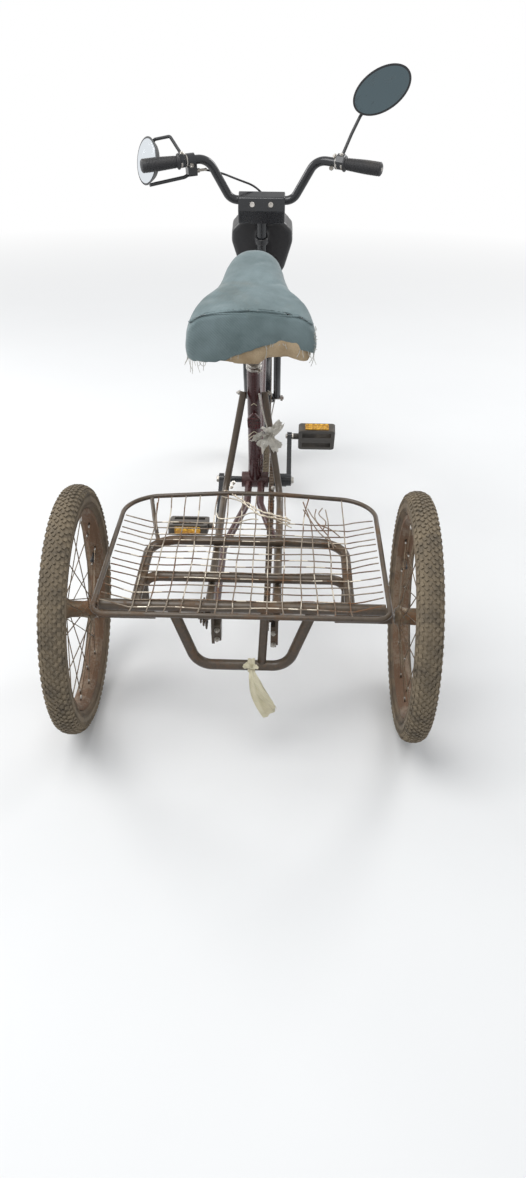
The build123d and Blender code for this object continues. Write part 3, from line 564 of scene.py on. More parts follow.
def joinPieces(name, pieces):
    form = bmesh.new()
    materials = []
    for piece in pieces:
        first = len(form.faces)
        form.from_mesh(piece.data)
        form.faces.ensure_lookup_table()
        slots = list(piece.data.materials)
        for material in slots:
            if material not in materials:
                materials.append(material)
        for face in form.faces[first:]:
            if slots:
                face.material_index = materials.index(slots[min(face.material_index, len(slots) - 1)])
    mesh = bpy.data.meshes.new(name)
    form.to_mesh(mesh)
    form.free()
    for material in materials:
        mesh.materials.append(material)
    for piece in pieces:
        bpy.data.objects.remove(piece)
    return meshPiece(name, mesh)


# Growth trees: round wire along a path, knobs round a wheel, links along a loop
def makeWireTree():
    kit, given = newGrowth("roundWire", [("Radius", "Float", 0.001), ("Sides", "Int", 8),
                                         ("Finish", "Material", None)])
    curve = kit.node("GeometryNodeMeshToCurve", {}, {"Mesh": given["Geometry"]})
    ring = kit.node("GeometryNodeCurvePrimitiveCircle", {}, {"Resolution": given["Sides"],
                                                             "Radius": given["Radius"]})
    tube = kit.node("GeometryNodeCurveToMesh", {}, {"Curve": curve, "Profile Curve": ring,
                                                    "Fill Caps": True})
    smooth = kit.node("GeometryNodeSetShadeSmooth", {}, {"Geometry": tube})
    return endGrowth(kit, smooth, given["Finish"])


def makeKnobTree():
    kit, given = newGrowth("ringOfKnobs", [
        ("Count", "Int", 40), ("Radius", "Float", 0.25), ("Side", "Float", 0.0), ("Phase", "Float", 0.0),
        ("Size", "Vector", (0.01, 0.004, 0.01)), ("Lean", "Float", 0.0), ("Tip", "Float", 0.0),
        ("Centre", "Vector", (0, 0, 0)), ("Finish", "Material", None)])
    index = kit.node("GeometryNodeInputIndex")
    angle = (index + given["Phase"]) * (2 * pi) / given["Count"]
    upAngle = kit.node("ShaderNodeMath", {"operation": "SINE"}, {0: angle})
    outAngle = kit.node("ShaderNodeMath", {"operation": "COSINE"}, {0: angle})
    spot = kit.node("ShaderNodeCombineXYZ", {}, {"X": given["Side"], "Y": outAngle * given["Radius"],
                                                 "Z": upAngle * given["Radius"]})
    spot = kit.node("ShaderNodeVectorMath", {"operation": "ADD"}, {0: spot, 1: given["Centre"]})
    points = kit.node("GeometryNodePoints", {}, {"Count": given["Count"], "Position": spot})
    block = kit.node("GeometryNodeMeshCube", {}, {"Size": given["Size"]})
    turn = kit.node("ShaderNodeCombineXYZ", {}, {"X": 0.0, "Y": given["Lean"], "Z": given["Tip"]})
    block = kit.node("GeometryNodeTransform", {}, {"Geometry": block, "Rotation": turn})
    facing = kit.node("ShaderNodeCombineXYZ", {}, {"X": angle, "Y": 0.0, "Z": 0.0})
    ring = kit.node("GeometryNodeInstanceOnPoints", {}, {"Points": points, "Instance": block,
                                                         "Rotation": facing})
    return endGrowth(kit, ring, given["Finish"])


# A link of the chain: plates on both sides, then pins; the inner links carry the rollers
linkValues = {"plateDepth": 0.0013, "barDepth": 0.0012, "barLength": 0.9, "barHeight": 1.35, "sides": 10,
              "inner": {"offset": 0.0034, "pinRadius": 0.0038, "pinLength": 0.0056},
              "outer": {"offset": 0.0049, "pinRadius": 0.0018, "pinLength": 0.0118}}


def makeLinkTree(values):
    kit, given = newGrowth("chainLinks", [
        ("Links", "Int", 100), ("Pitch", "Float", 0.0127), ("Plate", "Float", 0.0042),
        ("Finish", "Material", None)])
    curve = kit.node("GeometryNodeMeshToCurve", {}, {"Mesh": given["Geometry"]})
    spread = kit.node("GeometryNodeResampleCurve", {}, {"Curve": curve, "Count": given["Links"]})
    along = kit.node("GeometryNodeInputTangent")
    facing = kit.node("FunctionNodeAlignRotationToVector", {"axis": "Y", "pivot_axis": "X"},
                      {"Vector": along})
    index = kit.node("GeometryNodeInputIndex")
    odd = kit.node("ShaderNodeMath", {"operation": "MODULO"}, {0: index, 1: 2.0})

    def across(radius, depth, x, end):
        shape = kit.node("GeometryNodeMeshCylinder", {}, {"Vertices": values["sides"], "Radius": radius,
                                                          "Depth": depth})
        spot = kit.node("ShaderNodeCombineXYZ", {}, {"X": x, "Y": given["Pitch"] * end, "Z": 0.0})
        return kit.node("GeometryNodeTransform", {}, {"Geometry": shape, "Translation": spot,
                                                      "Rotation": (0, pi / 2, 0)})

    groups = []
    for share, link in ((odd, values["inner"]), (1 - odd, values["outer"])):
        pieces = []
        for x in (-link["offset"], link["offset"]):
            pieces += [across(given["Plate"], values["plateDepth"], x, end) for end in (-0.5, 0.5)]
            size = kit.node("ShaderNodeCombineXYZ", {}, {
                "X": values["barDepth"], "Y": given["Pitch"] * values["barLength"],
                "Z": given["Plate"] * values["barHeight"]})
            bar = kit.node("GeometryNodeMeshCube", {}, {"Size": size})
            pieces.append(kit.node("GeometryNodeTransform", {}, {"Geometry": bar, "Translation": (x, 0, 0)}))
        pieces += [across(link["pinRadius"], link["pinLength"], 0.0, end) for end in (-0.5, 0.5)]
        whole = kit.node("GeometryNodeJoinGeometry", {}, {0: pieces})
        groups.append(kit.node("GeometryNodeInstanceOnPoints", {}, {
            "Points": spread, "Selection": share, "Instance": whole, "Rotation": facing}))
    both = kit.node("GeometryNodeJoinGeometry", {}, {0: groups})
    return endGrowth(kit, both, given["Finish"])


wireTree = makeWireTree()
knobTree = makeKnobTree()
linkTree = makeLinkTree(linkValues)


def roundWire(name, paths, radius, finishName, sides=8, closed=False):
    return grow(name, pathObject(name + "Path", paths, closed), wireTree,
                {"Radius": radius, "Sides": sides, "Finish": finishes[finishName]})


def circlePath(centre, radius, steps):
    return [centre + onWheel(0, radius, 2 * pi * n / steps) for n in range(steps)]


print("growth trees made")

# Tyres: a rounded casing with rows of knobs, the outer ones on the shoulders
# Half of the casing's section, from the bead to the crown: side place, radius
casingValues = {"segments": 108, "bellyHalf": 0.0245, "bellyRadius": 0.2290,
                "half": [(-0.0135, 0.2074), (-0.0180, 0.2109), (-0.0215, 0.2160), (-0.0237, 0.2215),
                         (-0.0245, 0.2290), (-0.0233, 0.2375), (-0.0207, 0.2432), (-0.0162, 0.2484),
                         (-0.0086, 0.2525), (0.0, 0.2541)]}
# Rows of knobs on one side: side place, radius to the knob's middle, size across, out and along,
# lean across the tread, tip over the shoulder; the other side has them mirrored
knobCount = 96
knobRows = [
    (-0.0225, 0.2420, (0.0050, 0.0028, 0.0078), 0.0, 0.95),
    (-0.0172, 0.2500, (0.0058, 0.0028, 0.0074), 0.25, 0.50),
    (-0.0100, 0.2538, (0.0056, 0.0028, 0.0076), 0.55, 0.20),
    (-0.0034, 0.2553, (0.0046, 0.0028, 0.0082), -0.45, 0.0),
]
knobRows += [(-side, radius, size, -lean, -tip) for side, radius, size, lean, tip in reversed(knobRows)]
ribValues = {"radii": (0.2150, 0.2180, 0.2210, 0.2330, 0.2352, 0.2374), "rise": 0.0006, "steps": 96,
             "sink": 0.0030, "sinkOver": 0.02}


def makeTyre(name, node, body, finishName):
    centre = middleOf(node)
    casing = casingValues
    profile = casing["half"] + [(-x, radius) for x, radius in reversed(casing["half"][:-1])]
    vertices = []
    for step in range(casing["segments"]):
        angle = 2 * pi * step / casing["segments"]
        vertices += [centre + onWheel(x, radius, angle) for x, radius in profile]
    faces = gridFaces(casing["segments"], len(profile), True, True)
    pieces = [fromFaces(name + "Casing", vertices, faces, finishName)]
    for place, (side, radius, size, lean, tip) in enumerate(knobRows):
        start = pathObject(name + "Start", [[centre, centre + Vector((0.001, 0, 0))]])
        pieces.append(grow(name + "Row", start, knobTree, {
            "Count": knobCount, "Radius": radius, "Side": side, "Phase": (place % 2) * 0.5,
            "Size": size, "Lean": lean, "Tip": tip, "Centre": tuple(centre),
            "Finish": finishes[finishName]}))
    for side in (-1, 1):
        for radius in ribValues["radii"]:
            share = abs(radius - casing["bellyRadius"]) / ribValues["sinkOver"]
            x = side * (casing["bellyHalf"] - ribValues["sink"] * share * share)
            ring = circlePath(centre + Vector((x, 0, 0)), radius, ribValues["steps"])
            pieces.append(roundWire(name + "Rib", [ring], ribValues["rise"], finishName, 5, True))
    fitted(joinPieces(name, pieces), "muddy_tyre", body, node)


for name, node, body, finishName in (
        ("frontTyre", "front_tyre", "front_wheel", "frontTyreRubber"),
        ("leftTyre", "left_rear_tyre", "left_rear_wheel", "rearTyreRubber"),
        ("rightTyre", "right_rear_tyre", "drive_axle", "rearTyreRubber")):
    makeTyre(name, node, body, finishName)
print("tyres made")

# Drive chain: links along the loop round the axle sprocket and the chainring
chainValues = {"pitch": 0.0127, "ringTeeth": 40, "cogTeeth": 16, "arcSteps": 28, "plate": 0.0041}


def chainLoop(values):
    x = middleOf("drive_chain").x
    big = values["pitch"] / (2 * sin(pi / values["ringTeeth"]))
    small = values["pitch"] / (2 * sin(pi / values["cogTeeth"]))
    ahead, above = crankCentre.y - axleCentre.y, crankCentre.z - axleCentre.z
    tilt = atan2(above, ahead)
    wrap = acos((big - small) / sqrt(ahead ** 2 + above ** 2))
    points = []
    for n in range(values["arcSteps"] + 1):
        angle = tilt + wrap - 2 * wrap * n / values["arcSteps"]
        points.append((x, crankCentre.y + big * cos(angle), crankCentre.z + big * sin(angle)))
    for n in range(values["arcSteps"] + 1):
        angle = tilt - wrap - (2 * pi - 2 * wrap) * n / values["arcSteps"]
        points.append((x, axleCentre.y + small * cos(angle), axleCentre.z + small * sin(angle)))
    length = sum((Vector(a) - Vector(b)).length for a, b in zip(points, points[1:] + points[:1]))
    return points, length


chainPoints, chainLength = chainLoop(chainValues)
linkCount = 2 * round(chainLength / chainValues["pitch"] / 2)
chain = grow("chain", pathObject("chainPath", [chainPoints], True), linkTree, {
    "Links": linkCount, "Pitch": chainLength / linkCount, "Plate": chainValues["plate"],
    "Finish": finishes["oilyMetal"]})
fitted(chain, "oily_steel", "frame", "drive_chain")
print("chain made", linkCount, "links")

# Carrier floor: crossed wires that rise to the rim, bent here and there
floorValues = {"crossCount": 14, "crossPitch": 0.026, "crossFirst": -0.149, "longCount": 14,
               "longPitch": 0.0315, "halfWidth": 0.212, "front": 0.192, "rear": -0.152,
               "wireRadius": 0.00135, "lashingRadius": 0.0014, "rise": 0.015, "riseHalf": 0.055,
               "rimInset": 0.005, "bend": 0.0042, "bendEvery": 0.018, "bendPattern": 11.0,
               "slant": 0.005, "halfSpread": 0.004, "endSpread": 0.003, "sideInset": 0.003,
               "endInset": 0.002, "bentShare": 0.35, "leastPush": -0.15, "looseShare": 0.95, "sides": 7,
               "glintShare": 0.34, "glintRise": 0.00012, "glintRadius": 1.02, "seed": 11}
# Bent ends: which long wire, how far its front end moves sideways, back and down
bentEnds = {10: (0.020, -0.004, 0.000), 11: (-0.024, -0.010, -0.004), 12: (-0.006, -0.030, -0.010),
            4: (0.007, -0.002, 0.0), 8: (-0.006, 0.0, 0.0)}
# Lashing wire and loose wires over the floor: side, ahead of the axle, height
lashings = [
    [(-0.066, 0.279, 0.3905), (-0.056, 0.284, 0.3965), (-0.046, 0.280, 0.393), (-0.030, 0.265, 0.390),
     (0.000, 0.237, 0.386), (0.021, 0.217, 0.382), (0.064, 0.198, 0.379), (0.090, 0.186, 0.376)],
    [(-0.066, 0.279, 0.3905), (-0.058, 0.272, 0.386), (-0.023, 0.250, 0.388), (0.012, 0.209, 0.384),
     (0.024, 0.201, 0.379), (0.063, 0.190, 0.377), (0.089, 0.180, 0.373)],
    [(-0.072, 0.217, 0.374), (-0.063, 0.195, 0.372), (-0.025, 0.198, 0.3745), (0.006, 0.217, 0.376),
     (0.035, 0.203, 0.376), (0.060, 0.190, 0.374), (0.092, 0.159, 0.3725)],
    [(-0.022, 0.181, 0.371), (-0.008, 0.186, 0.3735), (0.007, 0.194, 0.373), (0.020, 0.190, 0.374)],
]
# Wires wound round a lashing: which one, the point of its smoothed path to start at, radius, turns
twists = [(0, 20, 0.0026, 9.0), (1, 20, 0.0024, 8.0)]
looseWires = [
    [(0.118, 0.236, 0.3765), (0.132, 0.196, 0.3745), (0.150, 0.140, 0.3735), (0.172, 0.100, 0.3735),
     (0.186, 0.075, 0.3730)],
    [(0.128, 0.240, 0.3765), (0.138, 0.205, 0.3760), (0.158, 0.150, 0.3745), (0.170, 0.120, 0.3740),
     (0.180, 0.070, 0.3728)],
    [(0.146, 0.236, 0.3780), (0.143, 0.200, 0.3775), (0.152, 0.170, 0.3755), (0.176, 0.150, 0.3745),
     (0.196, 0.115, 0.3745)],
    [(0.160, 0.242, 0.3780), (0.152, 0.214, 0.3775), (0.166, 0.182, 0.3760), (0.160, 0.150, 0.3750)],
    [(-0.206, 0.250, 0.3790), (-0.202, 0.200, 0.3760), (-0.197, 0.165, 0.3735), (-0.194, 0.136, 0.3728)],
]


def bentWire(points, values, chance):
    smooth = []
    for a, b in zip(points, points[1:]):
        steps = max(2, round((b - a).length / values["bendEvery"]))
        smooth += [a.lerp(b, n / steps) for n in range(steps)]
    smooth.append(points[-1])
    shift = Vector((chance.uniform(0, 9), chance.uniform(0, 9), chance.uniform(0, 9)))
    last = len(smooth) - 1
    for n, point in enumerate(smooth):
        held = min(1.0, n / 2, (last - n) / 2)
        push = noise.noise_vector(point * values["bendPattern"] + shift)
        push.z = max(push.z, values["leastPush"])
        point += push * values["bend"] * held
    return smooth


def floorPaths(values, chance):
    low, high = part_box("carrier_mesh")
    rimLow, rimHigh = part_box("carrier_rim")
    wire = values["wireRadius"]
    floorZ = low.z + wire
    rimZ = rimLow.z + values["rimInset"]
    rimHalf = rimHigh.x - values["rimInset"]
    ends = high.x - values["sideInset"]
    paths = []
    for n in range(values["crossCount"]):
        y = axleCentre.y + values["crossFirst"] + values["crossPitch"] * n
        slant = chance.uniform(-values["slant"], values["slant"])
        half = values["halfWidth"] + chance.uniform(-values["halfSpread"], values["halfSpread"])
        points = [Vector((-ends, y - slant, rimZ)), Vector((-half, y, floorZ)),
                  Vector((half, y, floorZ)), Vector((ends, y + slant, rimZ))]
        paths.append(bentWire(points, values, chance))
    first = -values["longPitch"] * (values["longCount"] - 1) / 2
    for n in range(values["longCount"]):
        x = first + values["longPitch"] * n
        rise = values["rise"] * min(1.0, (rimHalf - abs(x)) / (rimHalf - values["riseHalf"]))
        aside = chance.uniform(-values["endSpread"], values["endSpread"])
        move = Vector(bentEnds.get(n, (aside, 0, 0)))
        points = [Vector((x, low.y + values["endInset"], rimZ)),
                  Vector((x, axleCentre.y + values["rear"], floorZ + 2 * wire)),
                  Vector((x, axleCentre.y + values["front"], floorZ + 2 * wire)) + move * values["bentShare"],
                  Vector((x, high.y - values["endInset"], rimZ + rise)) + move]
        paths.append(bentWire(points, values, chance))
    return paths


def boundWires():
    bound = [smoothPoints([atRear(*point) for point in path], 9) for path in lashings]
    for which, start, radius, turns in twists:
        run = bound[which][start:]
        coil = []
        for n, point in enumerate(run):
            angle = 2 * pi * turns * n / len(run)
            coil.append(point + Vector((0, cos(angle), sin(angle) * 0.7 + 0.3)) * radius)
        bound.append(coil)
    return bound


# Short stretches of the floor wires that are rubbed bright: partly wear, partly painted glints
def wornPlaces(paths, values, chance):
    worn = []
    for path in paths:
        for n in range(2, len(path) - 3, 2):
            if chance.random() < values["glintShare"]:
                stretch = path[n:n + 2 + (chance.random() > 0.5)]
                worn.append([point + Vector((0, 0, values["glintRise"])) for point in stretch])
    return worn


def makeCarrierFloor(values):
    chance = random.Random(values["seed"])
    noise.seed_set(values["seed"])
    wire, sides = values["wireRadius"], values["sides"]
    paths = floorPaths(values, chance)
    worn = wornPlaces(paths, values, chance)
    loose = [smoothPoints([atRear(*point) for point in path], 7) for path in looseWires]
    floor = joinPieces("carrierFloor", [
        roundWire("floorWires", paths, wire, "wireMetal", sides),
        # Pale stretches on the floor wires: partly wear, partly painted glints
        roundWire("wornPlaces", worn, wire * values["glintRadius"], "wornMetal", sides),
        roundWire("looseWires", loose, wire * values["looseShare"], "wireMetal", sides),
        roundWire("lashingWire", boundWires(), values["lashingRadius"], "wornMetal", sides)])
    fitted(floor, "wire_steel", "frame", "carrier_mesh")


makeCarrierFloor(floorValues)
print("carrier floor made")

# Saddle: a padded form under a worn denim cover with a torn hem
saddleValues = {"spineRear": -0.060, "spineNose": 0.080, "perSide": 86, "slope": 0.279, "rearEnd": -0.141,
                "rearTop": 0.061, "crown": 0.009, "crownAt": 0.093, "shoulderAt": 0.095, "shoulder": 18.0,
                "inset": 0.0062, "wall": 0.020, "pocketTop": 0.008, "voxel": 0.005, "pressure": 4.0,
                "cap": 0.0038, "frames": 20, "fill": 0.55, "steps": 6, "roundSteps": 6, "skirtSteps": 11,
                "edgeBlend": 0.045, "belly": 0.0030, "tuck": 0.004, "leastSkirt": 0.010, "pocketGap": 0.003}
coverValues = {"thick": 0.0013, "folds": 0.0042, "foldPattern": (34, 34, 9), "slack": 0.0020,
               "slackPattern": 21, "fine": 0.0006, "finePattern": 85.0, "flare": 0.0022, "ragged": 0.0030,
               "raggedPatterns": (120.0, 330.0), "hemRise": 0.0020, "foamRise": 0.0035, "seamEnd": -0.121,
               "seamCorner": -0.1375, "seamDepth": 0.0012, "weltRise": 0.0008, "weltRadius": 0.0021,
               "stitchLift": (0, 0.0045, 0.0020), "stitchRadius": 0.0005, "cutWaste": 1.25}
# The outline is half of the plan, from the rear middle. Tables go by place ahead of the seat post's top,
# but the hem and the foam's edge at the back go by place to the right
saddleOutline = [(0.0, -0.141), (0.060, -0.141), (0.104, -0.1405), (0.120, -0.1375), (0.130, -0.128),
                 (0.133, -0.112), (0.126, -0.090), (0.109, -0.062), (0.090, -0.036), (0.078, -0.008),
                 (0.069, 0.030), (0.063, 0.065), (0.052, 0.098), (0.031, 0.120), (0.0, 0.126)]
roundTable = [(-0.141, 0.013), (-0.100, 0.019), (-0.040, 0.036), (0.030, 0.050), (0.126, 0.048)]
dropTable = [(-0.141, 0.014), (-0.100, 0.022), (-0.040, 0.030), (0.030, 0.034), (0.126, 0.030)]
lowTable = [(-0.141, -0.050), (-0.116, -0.048), (-0.080, -0.022), (-0.038, 0.022), (0.050, 0.050),
            (0.104, 0.082), (0.122, 0.097)]
hemTable = [(-0.134, -0.034), (-0.125, -0.044), (-0.095, -0.045), (-0.060, -0.042), (-0.020, -0.026),
            (0.023, -0.010), (0.063, 0.000), (0.092, -0.012), (0.120, -0.019), (0.134, -0.016)]
foamTable = [(-0.134, -0.046), (-0.084, -0.047), (-0.033, -0.053), (0.019, -0.053), (0.041, -0.041),
             (0.088, -0.036), (0.130, -0.046)]
# Pulled creases in the cloth, from above: from x, y to x, y, then depth and width
creases = [(0.072, -0.014, 0.020, -0.044, 0.0026, 0.0060),
           (-0.076, -0.018, -0.034, -0.040, 0.0018, 0.0055),
           (0.112, -0.072, 0.050, -0.078, 0.0016, 0.0060),
           (-0.115, -0.080, -0.060, -0.092, 0.0016, 0.0065),
           (0.030, 0.060, -0.014, 0.030, 0.0014, 0.0055),
           (-0.096, -0.112, -0.020, -0.104, 0.0013, 0.0060),
           (0.090, -0.108, 0.030, -0.116, 0.0013, 0.0050)]
# Places of the top's points from the saddle's spine to where its edge turns over
topShares = [0.0, 0.09, 0.18, 0.27, 0.36, 0.45, 0.54, 0.63, 0.72, 0.81, 0.90, 1.0]


def between(table, place):
    for (a, low), (b, high) in zip(table, table[1:]):
        if place <= b:
            return low + (high - low) * max(0.0, (place - a) / (b - a))
    return table[-1][1]


def evenly(points, count):
    lengths = [0.0]
    for a, b in zip(points, points[1:]):
        lengths.append(lengths[-1] + (b - a).length)
    chosen = []
    n = 0
    for step in range(count + 1):
        goal = lengths[-1] * step / count
        while n < len(points) - 2 and lengths[n + 1] < goal:
            n += 1
        share = (goal - lengths[n]) / (lengths[n + 1] - lengths[n])
        chosen.append(points[n].lerp(points[n + 1], min(1.0, share)))
    return chosen


def saddleTop(x, y, values):
    side = max(0.0, abs(x) - values["shoulderAt"])
    return (values["rearTop"] + values["slope"] * (y - values["rearEnd"])
            - values["crown"] * (x / values["crownAt"]) ** 2 - values["shoulder"] * side * side)


def edgeHeight(table, x, y, rise, values):
    share = min(1.0, max(0.0, (y - values["rearEnd"]) / values["edgeBlend"]))
    return between(table, x) * (1 - share) + (between(lowTable, y) + rise) * share


# A column of points at each place round the outline: top, rounded edge, then the skirt
def saddleColumns(values, inset, table, rise):
    outline = smoothPoints([(x, y, 0) for x, y in saddleOutline], values["steps"])
    side = evenly(outline, values["perSide"])
    ring = side[:-1] + [Vector((-point.x, point.y, 0)) for point in side[:0:-1]]
    roundSteps, skirtSteps = values["roundSteps"], values["skirtSteps"]
    columns = []
    for point in ring:
        spine = Vector((0, min(max(point.y, values["spineRear"]), values["spineNose"]), 0))
        out = point - spine
        reach = out.length - inset
        out.normalize()
        radius = min(between(roundTable, point.y), reach * 0.9)
        drop = between(dropTable, point.y)
        column = []
        for share in topShares:
            spot = spine + out * (reach - radius) * share
            column.append(Vector((spot.x, spot.y, saddleTop(spot.x, spot.y, values) - inset)))
        for n in range(1, roundSteps + 1):
            angle = n * pi / 2 / roundSteps
            spot = spine + out * (reach - radius + radius * sin(angle))
            height = saddleTop(spot.x, spot.y, values) - inset - drop * (1 - cos(angle))
            column.append(Vector((spot.x, spot.y, height)))
        edge = column[-1]
        low = min(edgeHeight(table, point.x, point.y, rise, values), edge.z - values["leastSkirt"])
        for n in range(1, skirtSteps + 1):
            share = n / skirtSteps
            belly = out * (values["belly"] * sin(pi * share) - values["tuck"] * share)
            column.append(Vector((edge.x, edge.y, edge.z + (low - edge.z) * share)) + belly)
        columns.append((column, spine, out))
    return columns


def makeSaddlePad(values):
    columns = saddleColumns(values, values["inset"], foamTable, coverValues["foamRise"])
    gap = values["pocketGap"]
    vertices = []
    for column, spine, out in columns:
        foot = column[-1]
        pocket = max(between(lowTable, foot.y) + gap, values["pocketTop"])
        wall = foot - out * min(values["wall"], (foot - spine).to_2d().length * 0.6)
        under = [wall, Vector((wall.x, wall.y, max(pocket, wall.z))) - out * values["tuck"]]
        last = Vector((spine.x, spine.y, max(pocket, between(lowTable, spine.y) + gap)))
        column = column + under + [under[1].lerp(last, 0.5), last]
        vertices += [seatPoint + point for point in column]
    faces = gridFaces(len(columns), len(columns[0][0]) + 4, True)
    return fromFaces("saddlePad", vertices, faces, "seatFoam")


def baked(piece):
    depsgraph = bpy.context.evaluated_depsgraph_get()
    mesh = bpy.data.meshes.new_from_object(piece.evaluated_get(depsgraph), depsgraph=depsgraph)
    mesh.materials.clear()
    for material in piece.data.materials:
        mesh.materials.append(material)
    piece.modifiers.clear()
    piece.data = mesh


def addRemesh(piece, voxel):
    modifier = piece.modifiers.new("remesh", "REMESH")
    modifier.mode = "VOXEL"
    modifier.voxel_size = voxel
    modifier.use_smooth_shade = True


def puffed(piece, values):
    before = [vertex.co.copy() for vertex in piece.data.vertices]
    cloth = piece.modifiers.new("puff", "CLOTH")
    cloth.settings.quality = 5
    cloth.settings.mass = 0.3
    cloth.settings.tension_stiffness = 12
    cloth.settings.compression_stiffness = 12
    cloth.settings.bending_stiffness = 0.6
    cloth.settings.use_pressure = True
    cloth.settings.uniform_pressure_force = values["pressure"]
    cloth.settings.effector_weights.gravity = 0.0
    cloth.point_cache.frame_end = values["frames"] + 1
    for number in range(1, values["frames"] + 1):
        bpy.context.scene.frame_set(number)
    baked(piece)
    bpy.context.scene.frame_set(1)
    for vertex, start in zip(piece.data.vertices, before):
        move = vertex.co - start
        if move.length > values["cap"]:
            vertex.co = start + move.normalized() * values["cap"]


def thickened(piece, thickness):
    thick = piece.modifiers.new("thickness", "SOLIDIFY")
    thick.thickness = thickness
    thick.offset = -1.0
    finer = piece.modifiers.new("finer", "SUBSURF")
    finer.levels = 1
    finer.render_levels = 1
    baked(piece)
    for polygon in piece.data.polygons:
        polygon.use_smooth = True
    return piece


saddlePad = makeSaddlePad(saddleValues)
addRemesh(saddlePad, saddleValues["voxel"])
baked(saddlePad)
puffed(saddlePad, saddleValues)


def creaseDepth(x, y):
    depth = 0.0
    for x0, y0, x1, y1, most, width in creases:
        along = ((x - x0) * (x1 - x0) + (y - y0) * (y1 - y0)) / ((x1 - x0) ** 2 + (y1 - y0) ** 2)
        held = min(1.0, max(0.0, along))
        away = (x - x0 - (x1 - x0) * held) ** 2 + (y - y0 - (y1 - y0) * held) ** 2
        depth += most * exp(-away / (width * width)) * sin(pi * min(0.95, held + 0.15))
    return depth


def moved(point, out, below, onTop, skirt, values):
    wide, deep, tall = values["foldPattern"]
    many = values["slackPattern"]
    folds = noise.noise(Vector((point.x * wide, point.y * deep, point.z * tall))) * values["folds"] * below
    slack = noise.noise(Vector((point.x * many + 4, point.y * many, point.z * many))) * values["slack"]
    fine = noise.noise(point * values["finePattern"]) * values["fine"]
    away = out * (folds + slack * (0.4 + 0.6 * below) + fine + values["flare"] * below * below)
    if not skirt:
        away = Vector((0, 0, slack + fine)) if onTop else away + Vector((0, 0, fine))
        away.z -= creaseDepth(point.x, point.y)
    return away


# The seam's points, from the left side round the back to the right side
def inOrder(seam, corner):
    sides = [point for point in seam if point.y > corner]
    rear = sorted((point for point in seam if point.y <= corner), key=lambda point: point.x)
    left = sorted((point for point in sides if point.x < 0), key=lambda point: -point.y)
    right = sorted((point for point in sides if point.x >= 0), key=lambda point: point.y)
    return left + rear + right


def makeCover(values):
    skirtSteps = saddleValues["skirtSteps"]
    columns = saddleColumns(saddleValues, 0.0, hemTable, values["hemRise"])
    size = len(columns[0][0])
    seamRow = len(topShares) + 1
    first, second = values["raggedPatterns"]
    seam = []
    vertices = []
    for column, spine, out in columns:
        for n, point in enumerate(column):
            below = max(0, n - size + skirtSteps + 1) / skirtSteps
            point += moved(point, out, below, n < len(topShares), n >= size - skirtSteps, values)
            if n == size - 1:
                torn = noise.noise(point * first) + 0.6 * noise.noise(point * second)
                point.z += torn * values["ragged"]
        if column[-1].y < values["seamEnd"]:
            column[seamRow + 1] -= out * values["seamDepth"]
            rise = out * values["weltRise"] + Vector((0, 0, values["weltRise"]))
            seam.append((column[seamRow] + rise).copy())
        vertices += [seatPoint + point for point in column]
    cover = fromFaces("coverCloth", vertices, gridFaces(len(columns), size, True), "denim")
    area = sum(polygon.area for polygon in cover.data.polygons)
    welt = [seatPoint + point for point in inOrder(seam, values["seamCorner"])]
    edge = [seatPoint + column[-1] for column, spine, out in columns]
    return thickened(cover, values["thick"]), area, welt, edge


# Threads that hang from the hem, most of them at the corners of the back, with a frayed right corner
fringeValues = {"radius": 0.0006, "seed": 5, "rear": -0.10, "corner": 0.095, "cornerShare": 0.62,
                "elsewhere": 0.18, "least": 0.004, "cornerDrop": 0.026, "drop": 0.008,
                "cornerDrift": 0.010, "drift": 0.004, "frayed": 26, "frayStep": 0.0022, "frayRear": -0.125,
                "longPlace": 0.030,
                "longDrops": [(0, 0, 0), (0.002, -0.002, -0.012), (-0.001, -0.001, -0.026)]}


def hangingThreads(edge, values, chance):
    threads = []
    for point in edge:
        rear = point.y - seatPoint.y < values["rear"]
        often = rear and abs(point.x + 0.04) > 0.05
        if chance.random() > (values["cornerShare"] if often else values["elsewhere"]):
            continue
        corner = abs(point.x) > values["corner"]
        drop = chance.uniform(values["least"], values["cornerDrop"] if corner else values["drop"])
        drift = Vector((chance.uniform(-1, 1), chance.uniform(-1, 0.3), 0))
        drift *= values["cornerDrift"] if corner else values["drift"]
        foot = Vector((0, 0, -drop))
        threads.append(smoothPoints([point + Vector((0, 0, 0.002)), point + drift * 0.3 + foot * 0.5,
                                     point + drift + foot], 3))
    return threads


def frayedCorner(edge, values, chance):
    rear = (point for point in edge if point.y - seatPoint.y < values["frayRear"])
    corner = max(rear, key=lambda point: point.x)
    threads = []
    for n in range(values["frayed"]):
        start = corner + Vector((0.0022, -0.0012, 0.002 + values["frayStep"] * n))
        away = Vector((chance.uniform(-0.002, 0.006), chance.uniform(-0.006, 0.001),
                       chance.uniform(-0.006, 0.004)))
        threads.append([start, start + away * 0.5 + Vector((0.0004, 0, 0)), start + away])
    return threads


def makeFringe(edge, values):
    chance = random.Random(values["seed"])
    threads = hangingThreads(edge, values, chance) + frayedCorner(edge, values, chance)
    rear = edge[0].y
    long = min(edge, key=lambda point: abs(point.x - values["longPlace"]) + abs(point.y - rear))
    threads.append(smoothPoints([long + Vector(drop) for drop in values["longDrops"]], 5))
    return roundWire("saddleFringe", threads, values["radius"], "threadCloth", 5)


